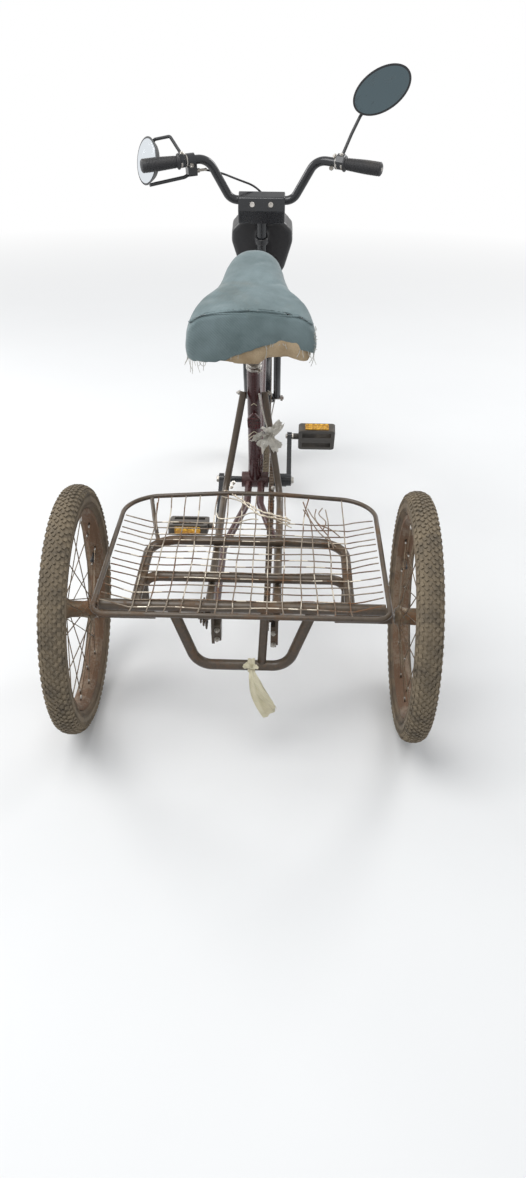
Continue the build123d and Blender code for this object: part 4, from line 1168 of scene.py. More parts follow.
def makeSaddle(values):
    cover, area, welt, edge = makeCover(values)
    lift = Vector(values["stitchLift"])
    stitches = [[welt[n] + lift, welt[n].lerp(welt[n + 1], 0.7) + lift] for n in range(1, len(welt) - 2, 2)]
    cover = joinPieces("saddleCover", [
        cover, roundWire("weltRidge", [welt], values["weltRadius"], "denim", 8),
        roundWire("stitches", stitches, values["stitchRadius"], "denim", 5)])
    fringe = makeFringe(edge, fringeValues)
    fitted(cover, "denim", "frame")
    fitted(fringe, "denim", "frame")
    fitted(saddlePad, "denim", "frame", "saddle")
    side = sqrt(area * values["cutWaste"])
    return area


print("saddle made", round(makeSaddle(coverValues), 4), "square metres of cover")

# Rags: knotted strips on the guard hoop and on the seat tube
# A strip: its points from the rag's origin, then width, twist, share of width at its start, crumple
ragKnot = (0.012, -0.088, 0.024)
ragValues = {
    "hoopRag": {"finish": "paleCloth", "slot": "pale_cloth", "node": "hoop_rag", "rest": "rear_frame",
                "origin": (0.018, -0.7565, 0.215), "length": 0.17,
                "strips": [
                    ([(0, 0.0010, 0.002), (0, 0.004, 0.0105), (0, 0.0125, 0.0135), (0, 0.021, 0.0105),
                      (0, 0.0245, 0.0), (0, 0.021, -0.0095), (0, 0.0125, -0.0130), (0, 0.004, -0.0105),
                      (0, 0.0, 0.0)], 0.015, 0.0, 1.0, 0.002),
                    ([(0.000, -0.003, 0.000), (0.006, -0.012, -0.018), (0.014, -0.012, -0.048),
                      (0.026, -0.010, -0.078), (0.040, -0.009, -0.104)], 0.034, 0.5, 0.25, 0.004),
                    ([(0.000, -0.003, 0.000), (0.004, -0.012, -0.016), (0.018, -0.014, -0.044),
                      (0.034, -0.012, -0.070), (0.043, -0.010, -0.088)], 0.026, -0.6, 0.25, 0.004),
                    ([(0.000, -0.002, 0.002), (-0.008, -0.008, 0.010), (-0.013, -0.006, 0.016)],
                     0.013, 0.5, 0.4, 0.002),
                    ([(0.000, -0.002, 0.002), (0.008, -0.008, 0.008), (0.012, -0.006, 0.013)],
                     0.011, -0.5, 0.4, 0.002),
                ]},
    "tubeRag": {"finish": "whiteCloth", "slot": "white_cloth", "node": "tube_rag", "rest": "main_frame",
                "origin": (0.026, -0.108, 0.448), "length": 0.20,
                "strips": [
                    ([(-0.004, 0.010, 0.002), (0.004, -0.020, 0.010), (0.008, -0.050, 0.018), ragKnot],
                     0.016, 0.3, 1.0, 0.003),
                    ([ragKnot, (-0.002, -0.102, 0.032), (-0.016, -0.098, 0.022), (-0.024, -0.094, 0.012)],
                     0.030, 0.9, 0.4, 0.007),
                    ([ragKnot, (0.020, -0.102, 0.038), (0.030, -0.099, 0.047), (0.038, -0.094, 0.060)],
                     0.026, -0.8, 0.4, 0.007),
                    ([ragKnot, (0.012, -0.104, 0.040), (0.006, -0.100, 0.046), (0.000, -0.096, 0.042)],
                     0.026, 0.7, 0.4, 0.007),
                    ([ragKnot, (0.020, -0.103, 0.014), (0.028, -0.099, 0.006), (0.034, -0.095, -0.008)],
                     0.028, 0.6, 0.4, 0.007),
                    ([ragKnot, (0.002, -0.104, 0.014), (-0.006, -0.100, 0.004), (-0.008, -0.096, -0.006)],
                     0.026, -0.9, 0.4, 0.007),
                    ([(0.012, -0.092, 0.026), (0.004, -0.097, 0.056), (-0.006, -0.084, 0.088),
                      (-0.014, -0.062, 0.116)], 0.0040, 0.5, 0.6, 0.001),
                ]},
}
stripValues = {"steps": 7, "columns": 9, "thickness": 0.0008, "folds": 13, "foldDepth": 0.13, "tear": 2.2}


def ragStrip(strip, origin, seed, values):
    points, width, twist, narrow, crumple = strip
    path = smoothPoints(points, values["steps"])
    columns = values["columns"]
    last = len(path) - 1
    vertices = []
    for n, point in enumerate(path):
        share = n / last
        along = (path[min(n + 1, last)] - path[max(n - 1, 0)]).normalized()
        side = Vector((cos(twist * share), sin(twist * share), 0))
        side = (side - along * side.dot(along)).normalized()
        out = along.cross(side)
        spread = width * (narrow + (1 - narrow) * sin(min(1.0, share * 1.3) * pi / 2))
        for column in range(columns):
            across = column / (columns - 1) - 0.5
            wave = sin(across * values["folds"] + seed * 2.1 + share * 3)
            fold = wave * values["foldDepth"] * (1 - narrow * 0.7)
            tear = noise.noise(Vector((across * 9, share * 2, seed * 3))) * crumple * values["tear"] * share
            push = noise.noise(Vector((across * 3 + seed, share * 5, seed * 1.7))) * crumple
            vertices.append(origin + point + side * (across * spread) + out * (fold * spread + push)
                            + along * tear)
    return vertices, gridFaces(last + 1, columns)


def merged(shapes):
    vertices = []
    faces = []
    for more, added in shapes:
        faces += [tuple(index + len(vertices) for index in face) for face in added]
        vertices += more
    return vertices, faces


def makeRag(name, values):
    origin = Vector(values["origin"])
    strips = [ragStrip(strip, origin, seed, stripValues) for seed, strip in enumerate(values["strips"])]
    vertices, faces = merged(strips)
    mesh = bpy.data.meshes.new(name)
    mesh.from_pydata([tuple(vertex) for vertex in vertices], [], faces)
    rag = meshPiece(name, mesh, values["finish"])
    area = sum(polygon.area for polygon in mesh.polygons)
    thickened(rag, stripValues["thickness"])
    fitted(rag, values["slot"], "frame", values["node"])
    area / values["length"]


for ragName, values in ragValues.items():
    makeRag(ragName, values)
print("rags made")


# Turned parts: a profile of (along, radius) about a line, with few sides for a nut, or a hollow one
def turned(start, direction, profile, sides=20, bore=0.0):
    if bore:
        profile = profile + [(profile[-1][0], bore), (profile[0][0], bore)]
    axis = Vector(direction).normalized()
    side = axis.orthogonal().normalized()
    other = axis.cross(side)
    vertices = []
    for along, radius in profile:
        for n in range(sides):
            angle = 2 * pi * n / sides
            vertices.append(start + axis * along + (side * cos(angle) + other * sin(angle)) * radius)
    rings = len(profile)
    faces = gridFaces(rings, sides, bore > 0, True)
    if not bore:
        faces.append(tuple(range(sides - 1, -1, -1)))
        faces.append(tuple((rings - 1) * sides + n for n in range(sides)))
    return vertices, faces


def turnedPiece(name, shapes, finishName, slotName, body, *nodes, smooth=False):
    piece = fromFaces(name, *merged(shapes), finishName, smooth)
    fitted(piece, slotName, body, *nodes)


def disc(radius, depth):
    return [(0, radius), (depth, radius)]


def nut(radius, height):
    return [(0, radius * 0.90), (height * 0.14, radius), (height * 0.86, radius), (height, radius * 0.90)]


# A bolt's washer, thread and tip: their radii are shares of the head's, their lengths are metres
boltValues = {"washer": 1.25, "washerDepth": 0.0012, "thread": 0.5, "threadLength": 0.004, "tip": 0.35,
              "tipLength": 0.0008}


def bolt(start, direction, radius, height):
    axis = Vector(direction).normalized()
    deep = boltValues["washerDepth"]
    long = boltValues["threadLength"]
    washer = turned(start, axis, disc(radius * boltValues["washer"], deep), 20)
    head = turned(start + axis * deep, axis, nut(radius, height), 6)
    end = turned(start + axis * height, axis, [
        (0, radius * boltValues["thread"]), (long, radius * boltValues["thread"]),
        (long + boltValues["tipLength"], radius * boltValues["tip"])], 12)
    return [washer, head, end]


# Handlebar places: the grip's tip and the bend inside it (side, ahead, up), the middle (ahead, up)
barTip, barBend, barMiddle = (0.296, -0.0291, 0.7799), (0.138, 0.0335, 0.771), (0.0142, 0.671)


def onGrip(way, x, up=0.0, forward=0.0):
    tip = steered(way * barTip[0], barTip[1], barTip[2])
    bend = steered(way * barBend[0], barBend[1], barBend[2])
    return tip.lerp(bend, (barTip[0] - x) / (barTip[0] - barBend[0])) + Vector((0, forward, up))


def inwardAt(way, x):
    return (onGrip(way, x - 0.01) - onGrip(way, x)).normalized()


# Grips: a domed tip, ribs that thin towards the neck, then a flange
gripValues = {"radius": 0.0170, "neck": 0.0145, "flange": 0.0190, "lip": 0.0006, "length": 0.097,
              "hole": 0.0118, "sides": 36, "ribs": 21, "pitch": 0.0038, "firstRib": 0.007,
              "ribDepth": 0.0009, "ribShape": [(-0.0012, 1.0), (-0.0007, 0.0), (0.0007, 0.0), (0.0012, 1.0)],
              "tip": [(-0.004, 0.006), (-0.0035, 0.0125), (-0.0015, 0.0155)], "tipEnd": 0.0010,
              "thinFrom": 0.4, "thinOver": 0.52, "flangePlaces": (0.0072, 0.006, 0.0052, 0.0028, 0.002)}


def gripProfile(values):
    radius, neck, flange, end = values["radius"], values["neck"], values["flange"], values["length"]
    profile = values["tip"] + [(values["tipEnd"], radius)]
    for n in range(values["ribs"]):
        along = values["firstRib"] + values["pitch"] * n
        share = max(0.0, (along - end * values["thinFrom"]) / (end * values["thinOver"]))
        full = radius + (neck - radius) * min(1.0, share)
        profile += [(along + shift, full - values["ribDepth"] * depth) for shift, depth in values["ribShape"]]
    lip = flange - values["lip"]
    radii = (neck, lip, flange, flange, lip)
    profile += [(end - place, wide) for place, wide in zip(values["flangePlaces"], radii)]
    return profile + [(end - values["flangePlaces"][-1], values["hole"])]


gripForm = gripProfile(gripValues)
grips = [turned(onGrip(way, barTip[0]), inwardAt(way, barTip[0]), gripForm, gripValues["sides"])
         for way in (-1, 1)]
turnedPiece("ribbedGrips", grips, "gripRubber", "grip_rubber", "steering", "grips", smooth=True)


# Soft-edged castings made from the CAD forms
castingValues = {
    "lampShell": {"node": "headlamp", "finish": "lampPlastic", "slot": "lamp_shell", "voxel": 0.0032,
                  "rounds": 14},
    "barBlock": {"node": "bar_clamp", "finish": "blackPaint", "slot": "black_paint", "voxel": 0.0022,
                 "rounds": 5},
}


def makeCasting(name, values):
    piece = meshPiece(name, cadNodes[values["node"]].data.copy(), values["finish"])
    addRemesh(piece, values["voxel"])
    softer = piece.modifiers.new("softer", "SMOOTH")
    softer.iterations = values["rounds"]
    softer.factor = 0.5
    baked(piece)
    fitted(piece, values["slot"], "steering", values["node"])


for castingName, values in castingValues.items():
    makeCasting(castingName, values)

# Small metal on the steering: cap screws on the block, rings on the bar, clamp bolts (side way, side
# place, up, ahead), the cable's adjuster at the lever and the plug in the end of the right grip
steeringMetal = {
    "screwSide": 0.024, "screwAhead": -0.0245, "screwUp": 0.0005, "screwSink": 0.0015,
    "screw": [(0, 0.0068), (0.0042, 0.0068), (0.0054, 0.0058), (0.0054, 0.0036), (0.0032, 0.0034)],
    "ringPlaces": (0.2070, 0.1930),
    "ring": [(0, 0.0152), (0.0006, 0.0160), (0.0052, 0.0160), (0.0058, 0.0152)],
    "bolts": [(-1, 0.2000, 0.0175, -0.006), (-1, 0.1760, -0.0100, -0.016), (1, 0.2000, 0.0185, -0.004),
              (1, 0.1840, 0.0150, -0.008), (1, 0.1760, -0.0130, -0.010)],
    "boltRadius": 0.0048, "boltHeight": 0.0042,
    "lever": 0.190, "adjusterDown": 0.027, "adjusterAside": 0.006, "adjusterIn": 0.0243,
    "adjusterSink": 0.002,
    "adjuster": [(0, 0.0046), (0.006, 0.0046), (0.0062, 0.0056), (0.0112, 0.0056), (0.0114, 0.0036),
                 (0.0250, 0.0034), (0.0262, 0.0040), (0.0300, 0.0040)],
    "endOut": 0.0030, "end": [(0, 0.0050), (0.0015, 0.0046), (0.0022, 0.0030)],
}
blockFace = steerForward * -0.836 + steerUp * 0.548


def makeSteeringMetal(values):
    shapes = []
    for x in (-values["screwSide"], values["screwSide"]):
        place = steered(x, barMiddle[0] + values["screwAhead"], barMiddle[1] + values["screwUp"])
        shapes.append(turned(place - blockFace * values["screwSink"], blockFace, values["screw"], 20))
    for way in (-1, 1):
        for x in values["ringPlaces"]:
            shapes.append(turned(onGrip(way, x), inwardAt(way, x), values["ring"], 28))
    for way, x, up, forward in values["bolts"]:
        facing = (0, -0.75, 0.66 if up > 0 else -0.3)
        shapes += bolt(onGrip(way, x, up, forward), facing, values["boltRadius"], values["boltHeight"])
    inward = inwardAt(-1, values["lever"])
    upright = (Vector((0, 0, 1)) - inward * inward.z).normalized()
    start = onGrip(-1, values["lever"]) - upright * values["adjusterDown"]
    start += inward * values["adjusterIn"] - inward.cross(upright) * values["adjusterAside"]
    shapes.append(turned(start - inward * values["adjusterSink"], inward, values["adjuster"], 14))
    inward = inwardAt(1, barTip[0])
    shapes.append(turned(onGrip(1, barTip[0]) - inward * values["endOut"], -inward, values["end"], 16))
    turnedPiece("steeringBolts", shapes, "nutMetal", "bare_steel", "steering")


makeSteeringMetal(steeringMetal)

# Clamp block of the right mirror and lever hinge: side way, side place, width
clampValues = {"blocks": [(1, 0.199, 0.022), (-1, 0.203, 0.012)], "up": 0.004, "edge": 0.0015,
               "radius": 0.0182, "edgeRadius": 0.0165}


def clampBlock(way, x, width, values):
    edge, wide, narrow = values["edge"], values["radius"], values["edgeRadius"]
    return turned(onGrip(way, x + width / 2, values["up"]), inwardAt(way, x), [
        (0, narrow), (edge, wide), (width - edge, wide), (width, narrow)], 8)


blocks = [clampBlock(*block, clampValues) for block in clampValues["blocks"]]
turnedPiece("mirrorClamps", blocks, "blackPaint", "black_paint", "steering")

# Saddle springs, rails and clamp
springValues = {"x": 0.052, "back": 0.097, "low": -0.036, "high": 0.0055, "radius": 0.0128, "wire": 0.0021,
                "turns": 5.2, "steps": 18, "flat": 0.08, "rising": 0.84, "margin": 0.002}
# A rail's points ahead of its spring: side, ahead of the seat post's top, up
railValues = {"radius": 0.0035, "footDrop": 0.003,
              "points": [(0.034, -0.044, -0.036), (0.030, 0.0016, -0.004), (0.020, 0.034, 0.022),
                         (0.012, 0.065, 0.048)]}
seatClampValues = {"below": 0.024, "sides": 32, "rodHalf": 0.036, "rodAhead": 0.005, "rodUp": -0.004,
                   "rodRadius": 0.005,
                   "profile": [(0, 0.0168), (0.0010, 0.0180), (0.0110, 0.0180), (0.0112, 0.0172),
                               (0.0128, 0.0172), (0.0130, 0.0180), (0.0230, 0.0180), (0.0240, 0.0168)]}


def springCoil(foot, values):
    rise = values["high"] - values["low"] - 2 * values["margin"]
    count = round(values["turns"] * values["steps"])
    coil = []
    for n in range(count + 1):
        angle = 2 * pi * values["turns"] * n / count
        share = min(1.0, max(0.0, (n / count - values["flat"]) / values["rising"]))
        height = values["margin"] + rise * share
        coil.append(foot + Vector((values["radius"] * cos(angle), values["radius"] * sin(angle), height)))
    return coil


def makeSaddleFrame(spring, rail, clamp):
    coils = []
    rails = []
    for way in (-1, 1):
        foot = atSeat(way * spring["x"], -spring["back"], spring["low"])
        coils.append(springCoil(foot, spring))
        ahead = [atSeat(way * x, forward, up) for x, forward, up in rail["points"]]
        rails.append(smoothPoints([foot - Vector((0, 0, rail["footDrop"]))] + ahead, 8))
    sleeve = turned(seatPoint - seatTubeUp * clamp["below"], seatTubeUp, clamp["profile"], clamp["sides"])
    rod = turned(atSeat(-clamp["rodHalf"], clamp["rodAhead"], clamp["rodUp"]), (1, 0, 0),
                 disc(clamp["rodRadius"], 2 * clamp["rodHalf"]), 16)
    saddleFrame = joinPieces("saddleRails", [
        fromFaces("seatClamp", *sleeve, "plainMetal", False),
        fromFaces("clampRod", *rod, "plainMetal", False),
        roundWire("coils", coils, spring["wire"], "plainMetal", 8),
        roundWire("rails", rails, rail["radius"], "plainMetal", 12)])
    fitted(saddleFrame, "bare_steel", "frame", "saddle_frame")


makeSaddleFrame(springValues, railValues, seatClampValues)

# Bolts of the frame: the saddle's clamp, the carrier's stays at their bends and at the seat tube, and
# the seat tube's own clamp with its two rings
frameMetal = {
    "saddleBolt": (0.0345, 0.005, -0.004), "saddleRadius": 0.0088, "saddleHeight": 0.0072,
    "stays": [(-0.0490, 0.385, 0.3560), (-0.0440, 0.385, 0.3670), (0.0490, 0.385, 0.3560)],
    "stayRadius": 0.0040, "stayHeight": 0.0036,
    "ringPlaces": (0.381, 0.371), "ring": [(0, 0.0166), (0.0006, 0.0176), (0.0068, 0.0176), (0.0074, 0.0166)],
    "tubeBolts": [((0.378, 0.010, 0.020), 1, 0.0045), ((0.295, 0.032, 0.0), 1, 0.0044),
                  ((0.295, -0.032, 0.0), -1, 0.0044)], "tubeRadius": 0.0052,
}


def makeFrameMetal(values):
    shapes = []
    x, forward, up = values["saddleBolt"]
    for way in (-1, 1):
        place = atSeat(way * x, forward, up)
        shapes += bolt(place, (way, 0, 0), values["saddleRadius"], values["saddleHeight"])
    for x, forward, height in values["stays"]:
        facing = (-0.15 if x < 0 else 0.15, -0.70, 0.70)
        shapes += bolt(atRear(x, forward, height), facing, values["stayRadius"], values["stayHeight"])
    for along in values["ringPlaces"]:
        shapes.append(turned(onSeatTube(along), seatTubeUp, values["ring"], 32))
    for place, way, height in values["tubeBolts"]:
        shapes += bolt(onSeatTube(*place), (way, 0, 0), values["tubeRadius"], height)
    turnedPiece("frameBolts", shapes, "nutMetal", "bare_steel", "frame")


makeFrameMetal(frameMetal)

# Painted chevrons on the back of the seat tube: each peak's place along it, degrees round it
chevronValues = {"lines": [(0.187, 72), (0.175, 72), (0.277, 24)], "radius": 0.01605, "paint": 0.0009,
                 "steps": 12, "steep": 0.9, "round": 1.37}


def chevronLine(along, sweep, values):
    line = []
    for n in range(-values["steps"], values["steps"] + 1):
        angle = radians(sweep) * n / values["steps"]
        drop = values["steep"] * abs(sin(angle)) + values["round"] * (1 - cos(angle))
        line.append(onSeatTube(along - values["radius"] * drop, values["radius"] * sin(angle),
                               values["radius"] * cos(angle)))
    return line


chevrons = [chevronLine(along, sweep, chevronValues) for along, sweep in chevronValues["lines"]]
stripes = roundWire("tubeChevrons", chevrons, chevronValues["paint"], "creamPaint", 6)
fitted(stripes, "maroon_paint", "frame")

# Wheels: spoke nipples, and the valve with its cap
wheelValues = {"spokes": 28, "rimInner": 0.193, "flange": 0.019, "sweep": 62.0, "rimHalf": 0.0043,
               "nipple": [(0, 0.0022), (0.0095, 0.0019), (0.0120, 0.0014)],
               "valve": [(0, 0.0045), (0.004, 0.0036), (0.018, 0.0032), (0.0182, 0.0042), (0.027, 0.0042),
                         (0.0285, 0.0030)]}


def makeWheelSmall(name, node, body, spacing, values):
    centre = middleOf(node)
    nipples = []
    for index in range(values["spokes"]):
        side = 1 if index % 2 else -1
        lean = 1 if (index // 2) % 2 else -1
        rimAngle = 2 * pi * index / values["spokes"]
        hubAngle = rimAngle + lean * radians(values["sweep"])
        start = centre + onWheel(side * spacing / 2, values["flange"], hubAngle)
        end = centre + onWheel(side * values["rimHalf"], values["rimInner"], rimAngle)
        nipples.append(turned(end, start - end, values["nipple"], 8))
    turnedPiece(name + "Nipples", nipples, "nutMetal", "bare_steel", body, smooth=True)
    out = onWheel(0, 1, pi / values["spokes"])
    valve = turned(centre + out * values["rimInner"], -out, values["valve"], 12)
    turnedPiece(name + "Valve", [valve], "gripRubber", "grip_rubber", body, smooth=True)


for name, node, body, spacing in (("front", "front_rim", "front_wheel", 0.046),
                                  ("left", "left_rear_rim", "left_rear_wheel", 0.056),
                                  ("right", "right_rear_rim", "drive_axle", 0.056)):
    makeWheelSmall(name, node, body, spacing, wheelValues)

# Bearing brackets at the hanger plates: side from, side to, behind, ahead, below, above the axle
bracketValues = {"places": [(-0.0655, -0.0490, -0.019, 0.017, -0.066, -0.021),
                            (0.0535, 0.0655, -0.021, 0.017, -0.078, -0.021)],
                 "rearCut": (0.010, 0.008), "aheadCut": (0.012, 0.014), "round": 0.0018,
                 "boltShares": (0.25, 0.75), "boltRadius": 0.0045, "boltHeight": 0.0040}


def bracketShape(place, values):
    low, high, back, ahead, foot, top = place
    rearIn, rearUp = values["rearCut"]
    aheadIn, aheadUp = values["aheadCut"]
    outline = [(back, foot + rearUp), (back + rearIn, foot), (ahead - aheadIn, foot), (ahead, foot + aheadUp),
               (ahead, top), (back, top)]
    vertices = [axleCentre + Vector((x, y, z)) for x in (low, high) for y, z in outline]
    corners = len(outline)
    ends = [tuple(range(corners - 1, -1, -1)), tuple(range(corners, 2 * corners))]
    return vertices, ends + gridFaces(2, corners, False, True)


def makeBrackets(values):
    shapes = [bracketShape(place, values) for place in values["places"]]
    piece = fromFaces("axleBrackets", *merged(shapes), "carrierPaint", False)
    rounder = piece.modifiers.new("rounder", "BEVEL")
    rounder.width = values["round"]
    rounder.segments = 2
    baked(piece)
    fitted(piece, "dark_paint", "frame")
    bolts = []
    for low, high, back, ahead, foot, top in values["places"]:
        for share in values["boltShares"]:
            spot = axleCentre + Vector((low + (high - low) * 0.5, back, foot + (top - foot) * share))
            bolts += bolt(spot, (0, -1, 0), values["boltRadius"], values["boltHeight"])
    turnedPiece("bracketBolts", bolts, "nutMetal", "bare_steel", "frame")


makeBrackets(bracketValues)

# Hub shells of the rear wheels, wider at the outer flange, given from the outer end inwards
hubValues = {"sides": 40, "bore": 0.0152,
             "profile": [(-0.0335, 0.0170), (-0.0325, 0.0205), (-0.0300, 0.0232), (-0.0262, 0.0240),
                         (-0.0245, 0.0222), (-0.0150, 0.0178), (0.0100, 0.0168), (0.0230, 0.0190),
                         (0.0262, 0.0226), (0.0300, 0.0222), (0.0320, 0.0185), (0.0370, 0.0170)]}
for name, node, body, way in (("left", "left_rear_rim", "left_rear_wheel", -1),
                              ("right", "right_rear_rim", "drive_axle", 1)):
    shell = turned(middleOf(node), (-way, 0, 0), hubValues["profile"], hubValues["sides"], hubValues["bore"])
    turnedPiece(name + "HubShell", [shell], "hubMetal", "bare_steel", body, smooth=True)

# Crank bolts with their washers, pedal nuts and pedal washers
crankValues = {"outside": 0.0921, "inside": 0.0799, "washer": (0.0115, 0.0014), "nut": (0.0085, 0.0068),
               "pedalNut": (0.0088, 0.0050), "pedalWasher": [(0, 0.0062), (0.0030, 0.0062), (0.0042, 0.0045)]}


def makeCrankBolts(values):
    shapes = []
    for way in (-1, 1):
        outward = (way, 0, 0)
        hub = Vector((way * values["outside"], crankCentre.y, crankCentre.z))
        shapes.append(turned(hub, outward, disc(*values["washer"]), 24))
        shapes.append(turned(hub, outward, nut(*values["nut"]), 6))
        pedal = Vector(joints["right_pedal_spin" if way > 0 else "left_pedal_spin"]["pos_m"])
        outside = Vector((way * values["outside"], pedal.y, pedal.z))
        inside = Vector((way * values["inside"], pedal.y, pedal.z))
        shapes.append(turned(outside, outward, nut(*values["pedalNut"]), 6))
        shapes.append(turned(inside, (-way, 0, 0), values["pedalWasher"], 18))
    turnedPiece("crankBolts", shapes, "nutMetal", "bare_steel", "crank")


makeCrankBolts(crankValues)

# Bearing cups at both ends of the head tube
cupValues = {"places": (0.3245, 0.4805), "sides": 36, "bore": 0.0135,
             "profile": [(0, 0.0182), (0.0010, 0.0196), (0.0044, 0.0196), (0.0052, 0.0186)]}
cups = [turned(steered(0, 0, up), steerUp, cupValues["profile"], cupValues["sides"], cupValues["bore"])
        for up in cupValues["places"]]
turnedPiece("headCups", cups, "plainMetal", "bare_steel", "frame")

# Mudguard stays and rolled edges, with angles in degrees up from straight ahead
guardValues = {"radius": 0.2692, "half": 0.0288, "stay": 0.0019, "edge": 0.0017, "stayAngles": (174, 47),
               "stayFoot": (0.0400, 0.012), "staySide": 0.0305, "edgeFrom": 41, "edgeTo": 187, "edgeStep": 2}


def onGuard(x, radius, angle):
    return frontCentre + onWheel(x, radius, radians(angle))


def makeGuardTrim(values):
    stays = []
    edges = []
    footSide, footRadius = values["stayFoot"]
    for way in (-1, 1):
        for angle in values["stayAngles"]:
            stays.append([onGuard(way * footSide, footRadius, angle),
                          onGuard(way * values["staySide"], values["radius"], angle)])
        edges.append([onGuard(way * values["half"], values["radius"], angle)
                      for angle in range(values["edgeFrom"], values["edgeTo"] + 1, values["edgeStep"])])
    trim = joinPieces("guardTrim", [roundWire("guardStays", stays, values["stay"], "nutMetal", 10),
                                    roundWire("guardEdges", edges, values["edge"], "blackPaint", 8)])
    fitted(trim, "black_paint", "steering")


makeGuardTrim(guardValues)

# Lamp: bright ring, bowl behind the lens and upright flutes on it, each at its own depth
lampValues = {"forward": 0.086, "up": 0.525, "ringRadius": 0.0632, "ring": 0.0036, "ringSteps": 72,
              "ringDepth": 0.0035, "bowlRadius": 0.058, "bowlThickness": 0.0005, "bowlDepth": 0.0002,
              "flutes": 11, "fluteStep": 0.0098, "fluteReach": 0.0560, "fluteDepth": 0.0088, "flute": 0.0010}


def makeLampFace(values):
    centre = steered(0, values["forward"], values["up"])
    ring = []
    for n in range(values["ringSteps"]):
        angle = 2 * pi * n / values["ringSteps"]
        out = Vector((cos(angle), 0, 0)) + steerUp * sin(angle)
        ring.append(centre + steerForward * values["ringDepth"] + out * values["ringRadius"])
    back = turned(centre + steerForward * values["bowlDepth"], steerForward,
                  disc(values["bowlRadius"], values["bowlThickness"]), 48)
    bowl = fromFaces("lampBowl", *back, "nutMetal", False)
    bezel = roundWire("lampBezel", [ring], values["ring"], "nutMetal", 12, True)
    face = joinPieces("lampRing", [bezel, bowl])
    fitted(face, "bare_steel", "steering")
    flutes = []
    front = centre + steerForward * values["fluteDepth"]
    for n in range(values["flutes"]):
        x = (n - (values["flutes"] - 1) / 2) * values["fluteStep"]
        half = sqrt(values["fluteReach"] ** 2 - x * x)
        flutes.append([front + Vector((x, 0, 0)) + steerUp * way * half for way in (-1, 1)])
    fitted(roundWire("lensFlutes", flutes, values["flute"], "clearLens", 8), "lens", "steering")


makeLampFace(lampValues)
print("small metal made")

# Floor, light and camera
studioValues = {"floorColour": (0.80, 0.80, 0.79), "skyColour": (0.92, 0.95, 1.0), "skyStrength": 0.62,
                "fadeFrom": 1.6, "fadeTo": 4.6, "reach": 14.0,
                "lamps": [
                    {"name": "softTop", "place": (-0.9, -1.4, 3.4), "aim": (0, -0.1, 0.4), "size": 2.4,
                     "watts": 70},
                    {"name": "softFront", "place": (2.2, 2.0, 2.6), "aim": (0, 0.1, 0.5), "size": 1.6,
                     "watts": 42},
                    {"name": "softLeft", "place": (-2.6, 1.0, 1.9), "aim": (0, 0, 0.5), "size": 1.6,
                     "watts": 34},
                ]}
cameraValues = {"place": (0.0739, -2.2694, 1.3405), "yaw": -0.02269, "pitch": 0.55596, "roll": 0.01037,
                "focalPixels": 957.2, "imageHeight": 1178.0, "filmHeight": 36.0}


def seenDirectly(kit):
    rays = kit.tree.nodes.new("ShaderNodeLightPath")
    camera, glossy, through = [Wire(kit, rays.outputs[label]) for label in
                               ("Is Camera Ray", "Is Glossy Ray", "Is Transmission Ray")]
    return camera.largest(glossy).largest(through)


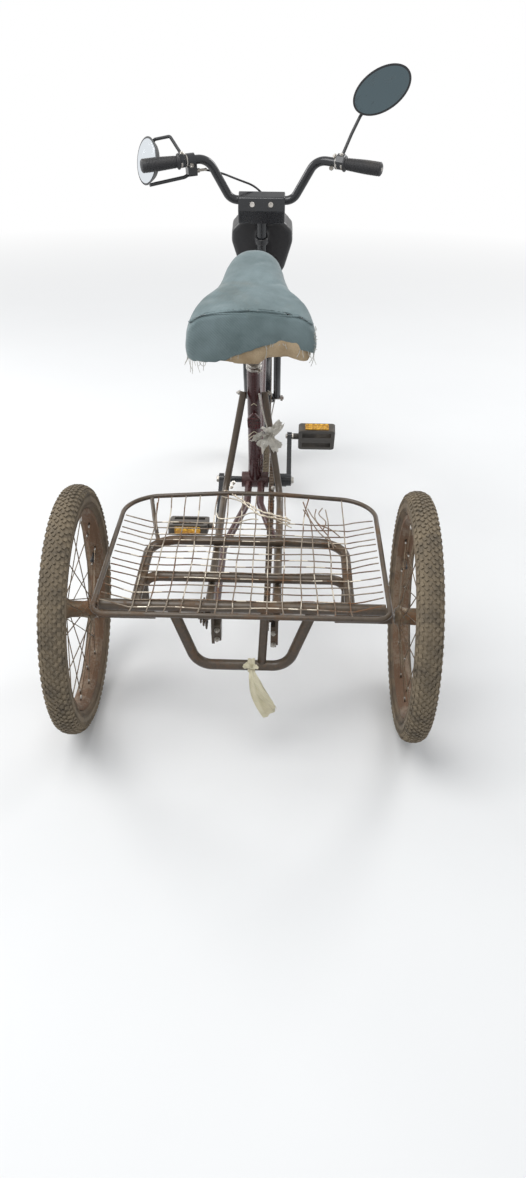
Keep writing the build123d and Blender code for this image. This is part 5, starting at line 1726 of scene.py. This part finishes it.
def makeStudio(values):
    finish = Finish("floorPaint")
    clouds = finish.speckle("floorClouds", 4.0)
    colour = finish.mix(finish.ramp(clouds, 0.3, 0.7), values["floorColour"],
                        shaded(values["floorColour"], 0.98))
    plain = finish.node("ShaderNodeBsdfDiffuse", {}, {"Color": colour})
    white = finish.node("ShaderNodeEmission", {}, {"Color": (1, 1, 1, 1), "Strength": 1.0})
    away = finish.node("ShaderNodeVectorMath", {"operation": "LENGTH"}, {0: finish.place}, "Value")
    far = finish.ramp(away, values["fadeFrom"], values["fadeTo"]) * seenDirectly(finish)
    both = finish.node("ShaderNodeMixShader", {}, {0: far, 1: plain, 2: white})
    ending = finish.tree.nodes.new("ShaderNodeOutputMaterial")
    finish.tree.links.new(both.socket, ending.inputs["Surface"])
    mesh = bpy.data.meshes.new("studioFloor")
    reach = values["reach"]
    mesh.from_pydata([(-reach, -reach, 0), (reach, -reach, 0), (reach, reach, 0), (-reach, reach, 0)],
                     [], [(0, 1, 2, 3)])
    floor = meshPiece("studioFloor", mesh)
    mesh.materials.append(finish.material)
    world = bpy.data.worlds.new("studioWorld")
    bpy.context.scene.world = world
    world.use_nodes = True
    world.node_tree.nodes.clear()
    sky = Kit(world.node_tree)
    dim = sky.node("ShaderNodeBackground", {}, {"Color": (*values["skyColour"], 1),
                                                "Strength": values["skyStrength"]})
    bright = sky.node("ShaderNodeBackground", {}, {"Color": (1, 1, 1, 1), "Strength": 1.0})
    both = sky.node("ShaderNodeMixShader", {}, {0: seenDirectly(sky), 1: dim, 2: bright})
    ending = world.node_tree.nodes.new("ShaderNodeOutputWorld")
    world.node_tree.links.new(both.socket, ending.inputs["Surface"])
    for lamp in values["lamps"]:
        light = bpy.data.lights.new(lamp["name"], "AREA")
        light.shape = "DISK"
        light.size = lamp["size"]
        light.energy = lamp["watts"]
        holder = bpy.data.objects.new(lamp["name"], light)
        bpy.context.scene.collection.objects.link(holder)
        holder.location = lamp["place"]
        aim = Vector(lamp["aim"]) - Vector(lamp["place"])
        holder.rotation_euler = aim.to_track_quat("-Z", "Y").to_euler()


def makeCamera(values):
    yaw, pitch, roll = values["yaw"], values["pitch"], values["roll"]
    forward = Vector((sin(yaw) * cos(pitch), cos(yaw) * cos(pitch), -sin(pitch)))
    right = Vector((cos(yaw), -sin(yaw), 0))
    up = right.cross(forward)
    across = right * cos(roll) + up * sin(roll)
    upright = up * cos(roll) - right * sin(roll)
    data = bpy.data.cameras.new("photoCamera")
    data.sensor_fit = "VERTICAL"
    data.sensor_height = values["filmHeight"]
    data.lens = values["focalPixels"] / values["imageHeight"] * values["filmHeight"]
    camera = bpy.data.objects.new("photoCamera", data)
    bpy.context.scene.collection.objects.link(camera)
    turn = Matrix((across, upright, -forward)).transposed()
    camera.matrix_world = Matrix.Translation(values["place"]) @ turn.to_4x4()
    bpy.context.scene.camera = camera


makeStudio(studioValues)
makeCamera(cameraValues)
bpy.context.scene.view_settings.view_transform = "Standard"
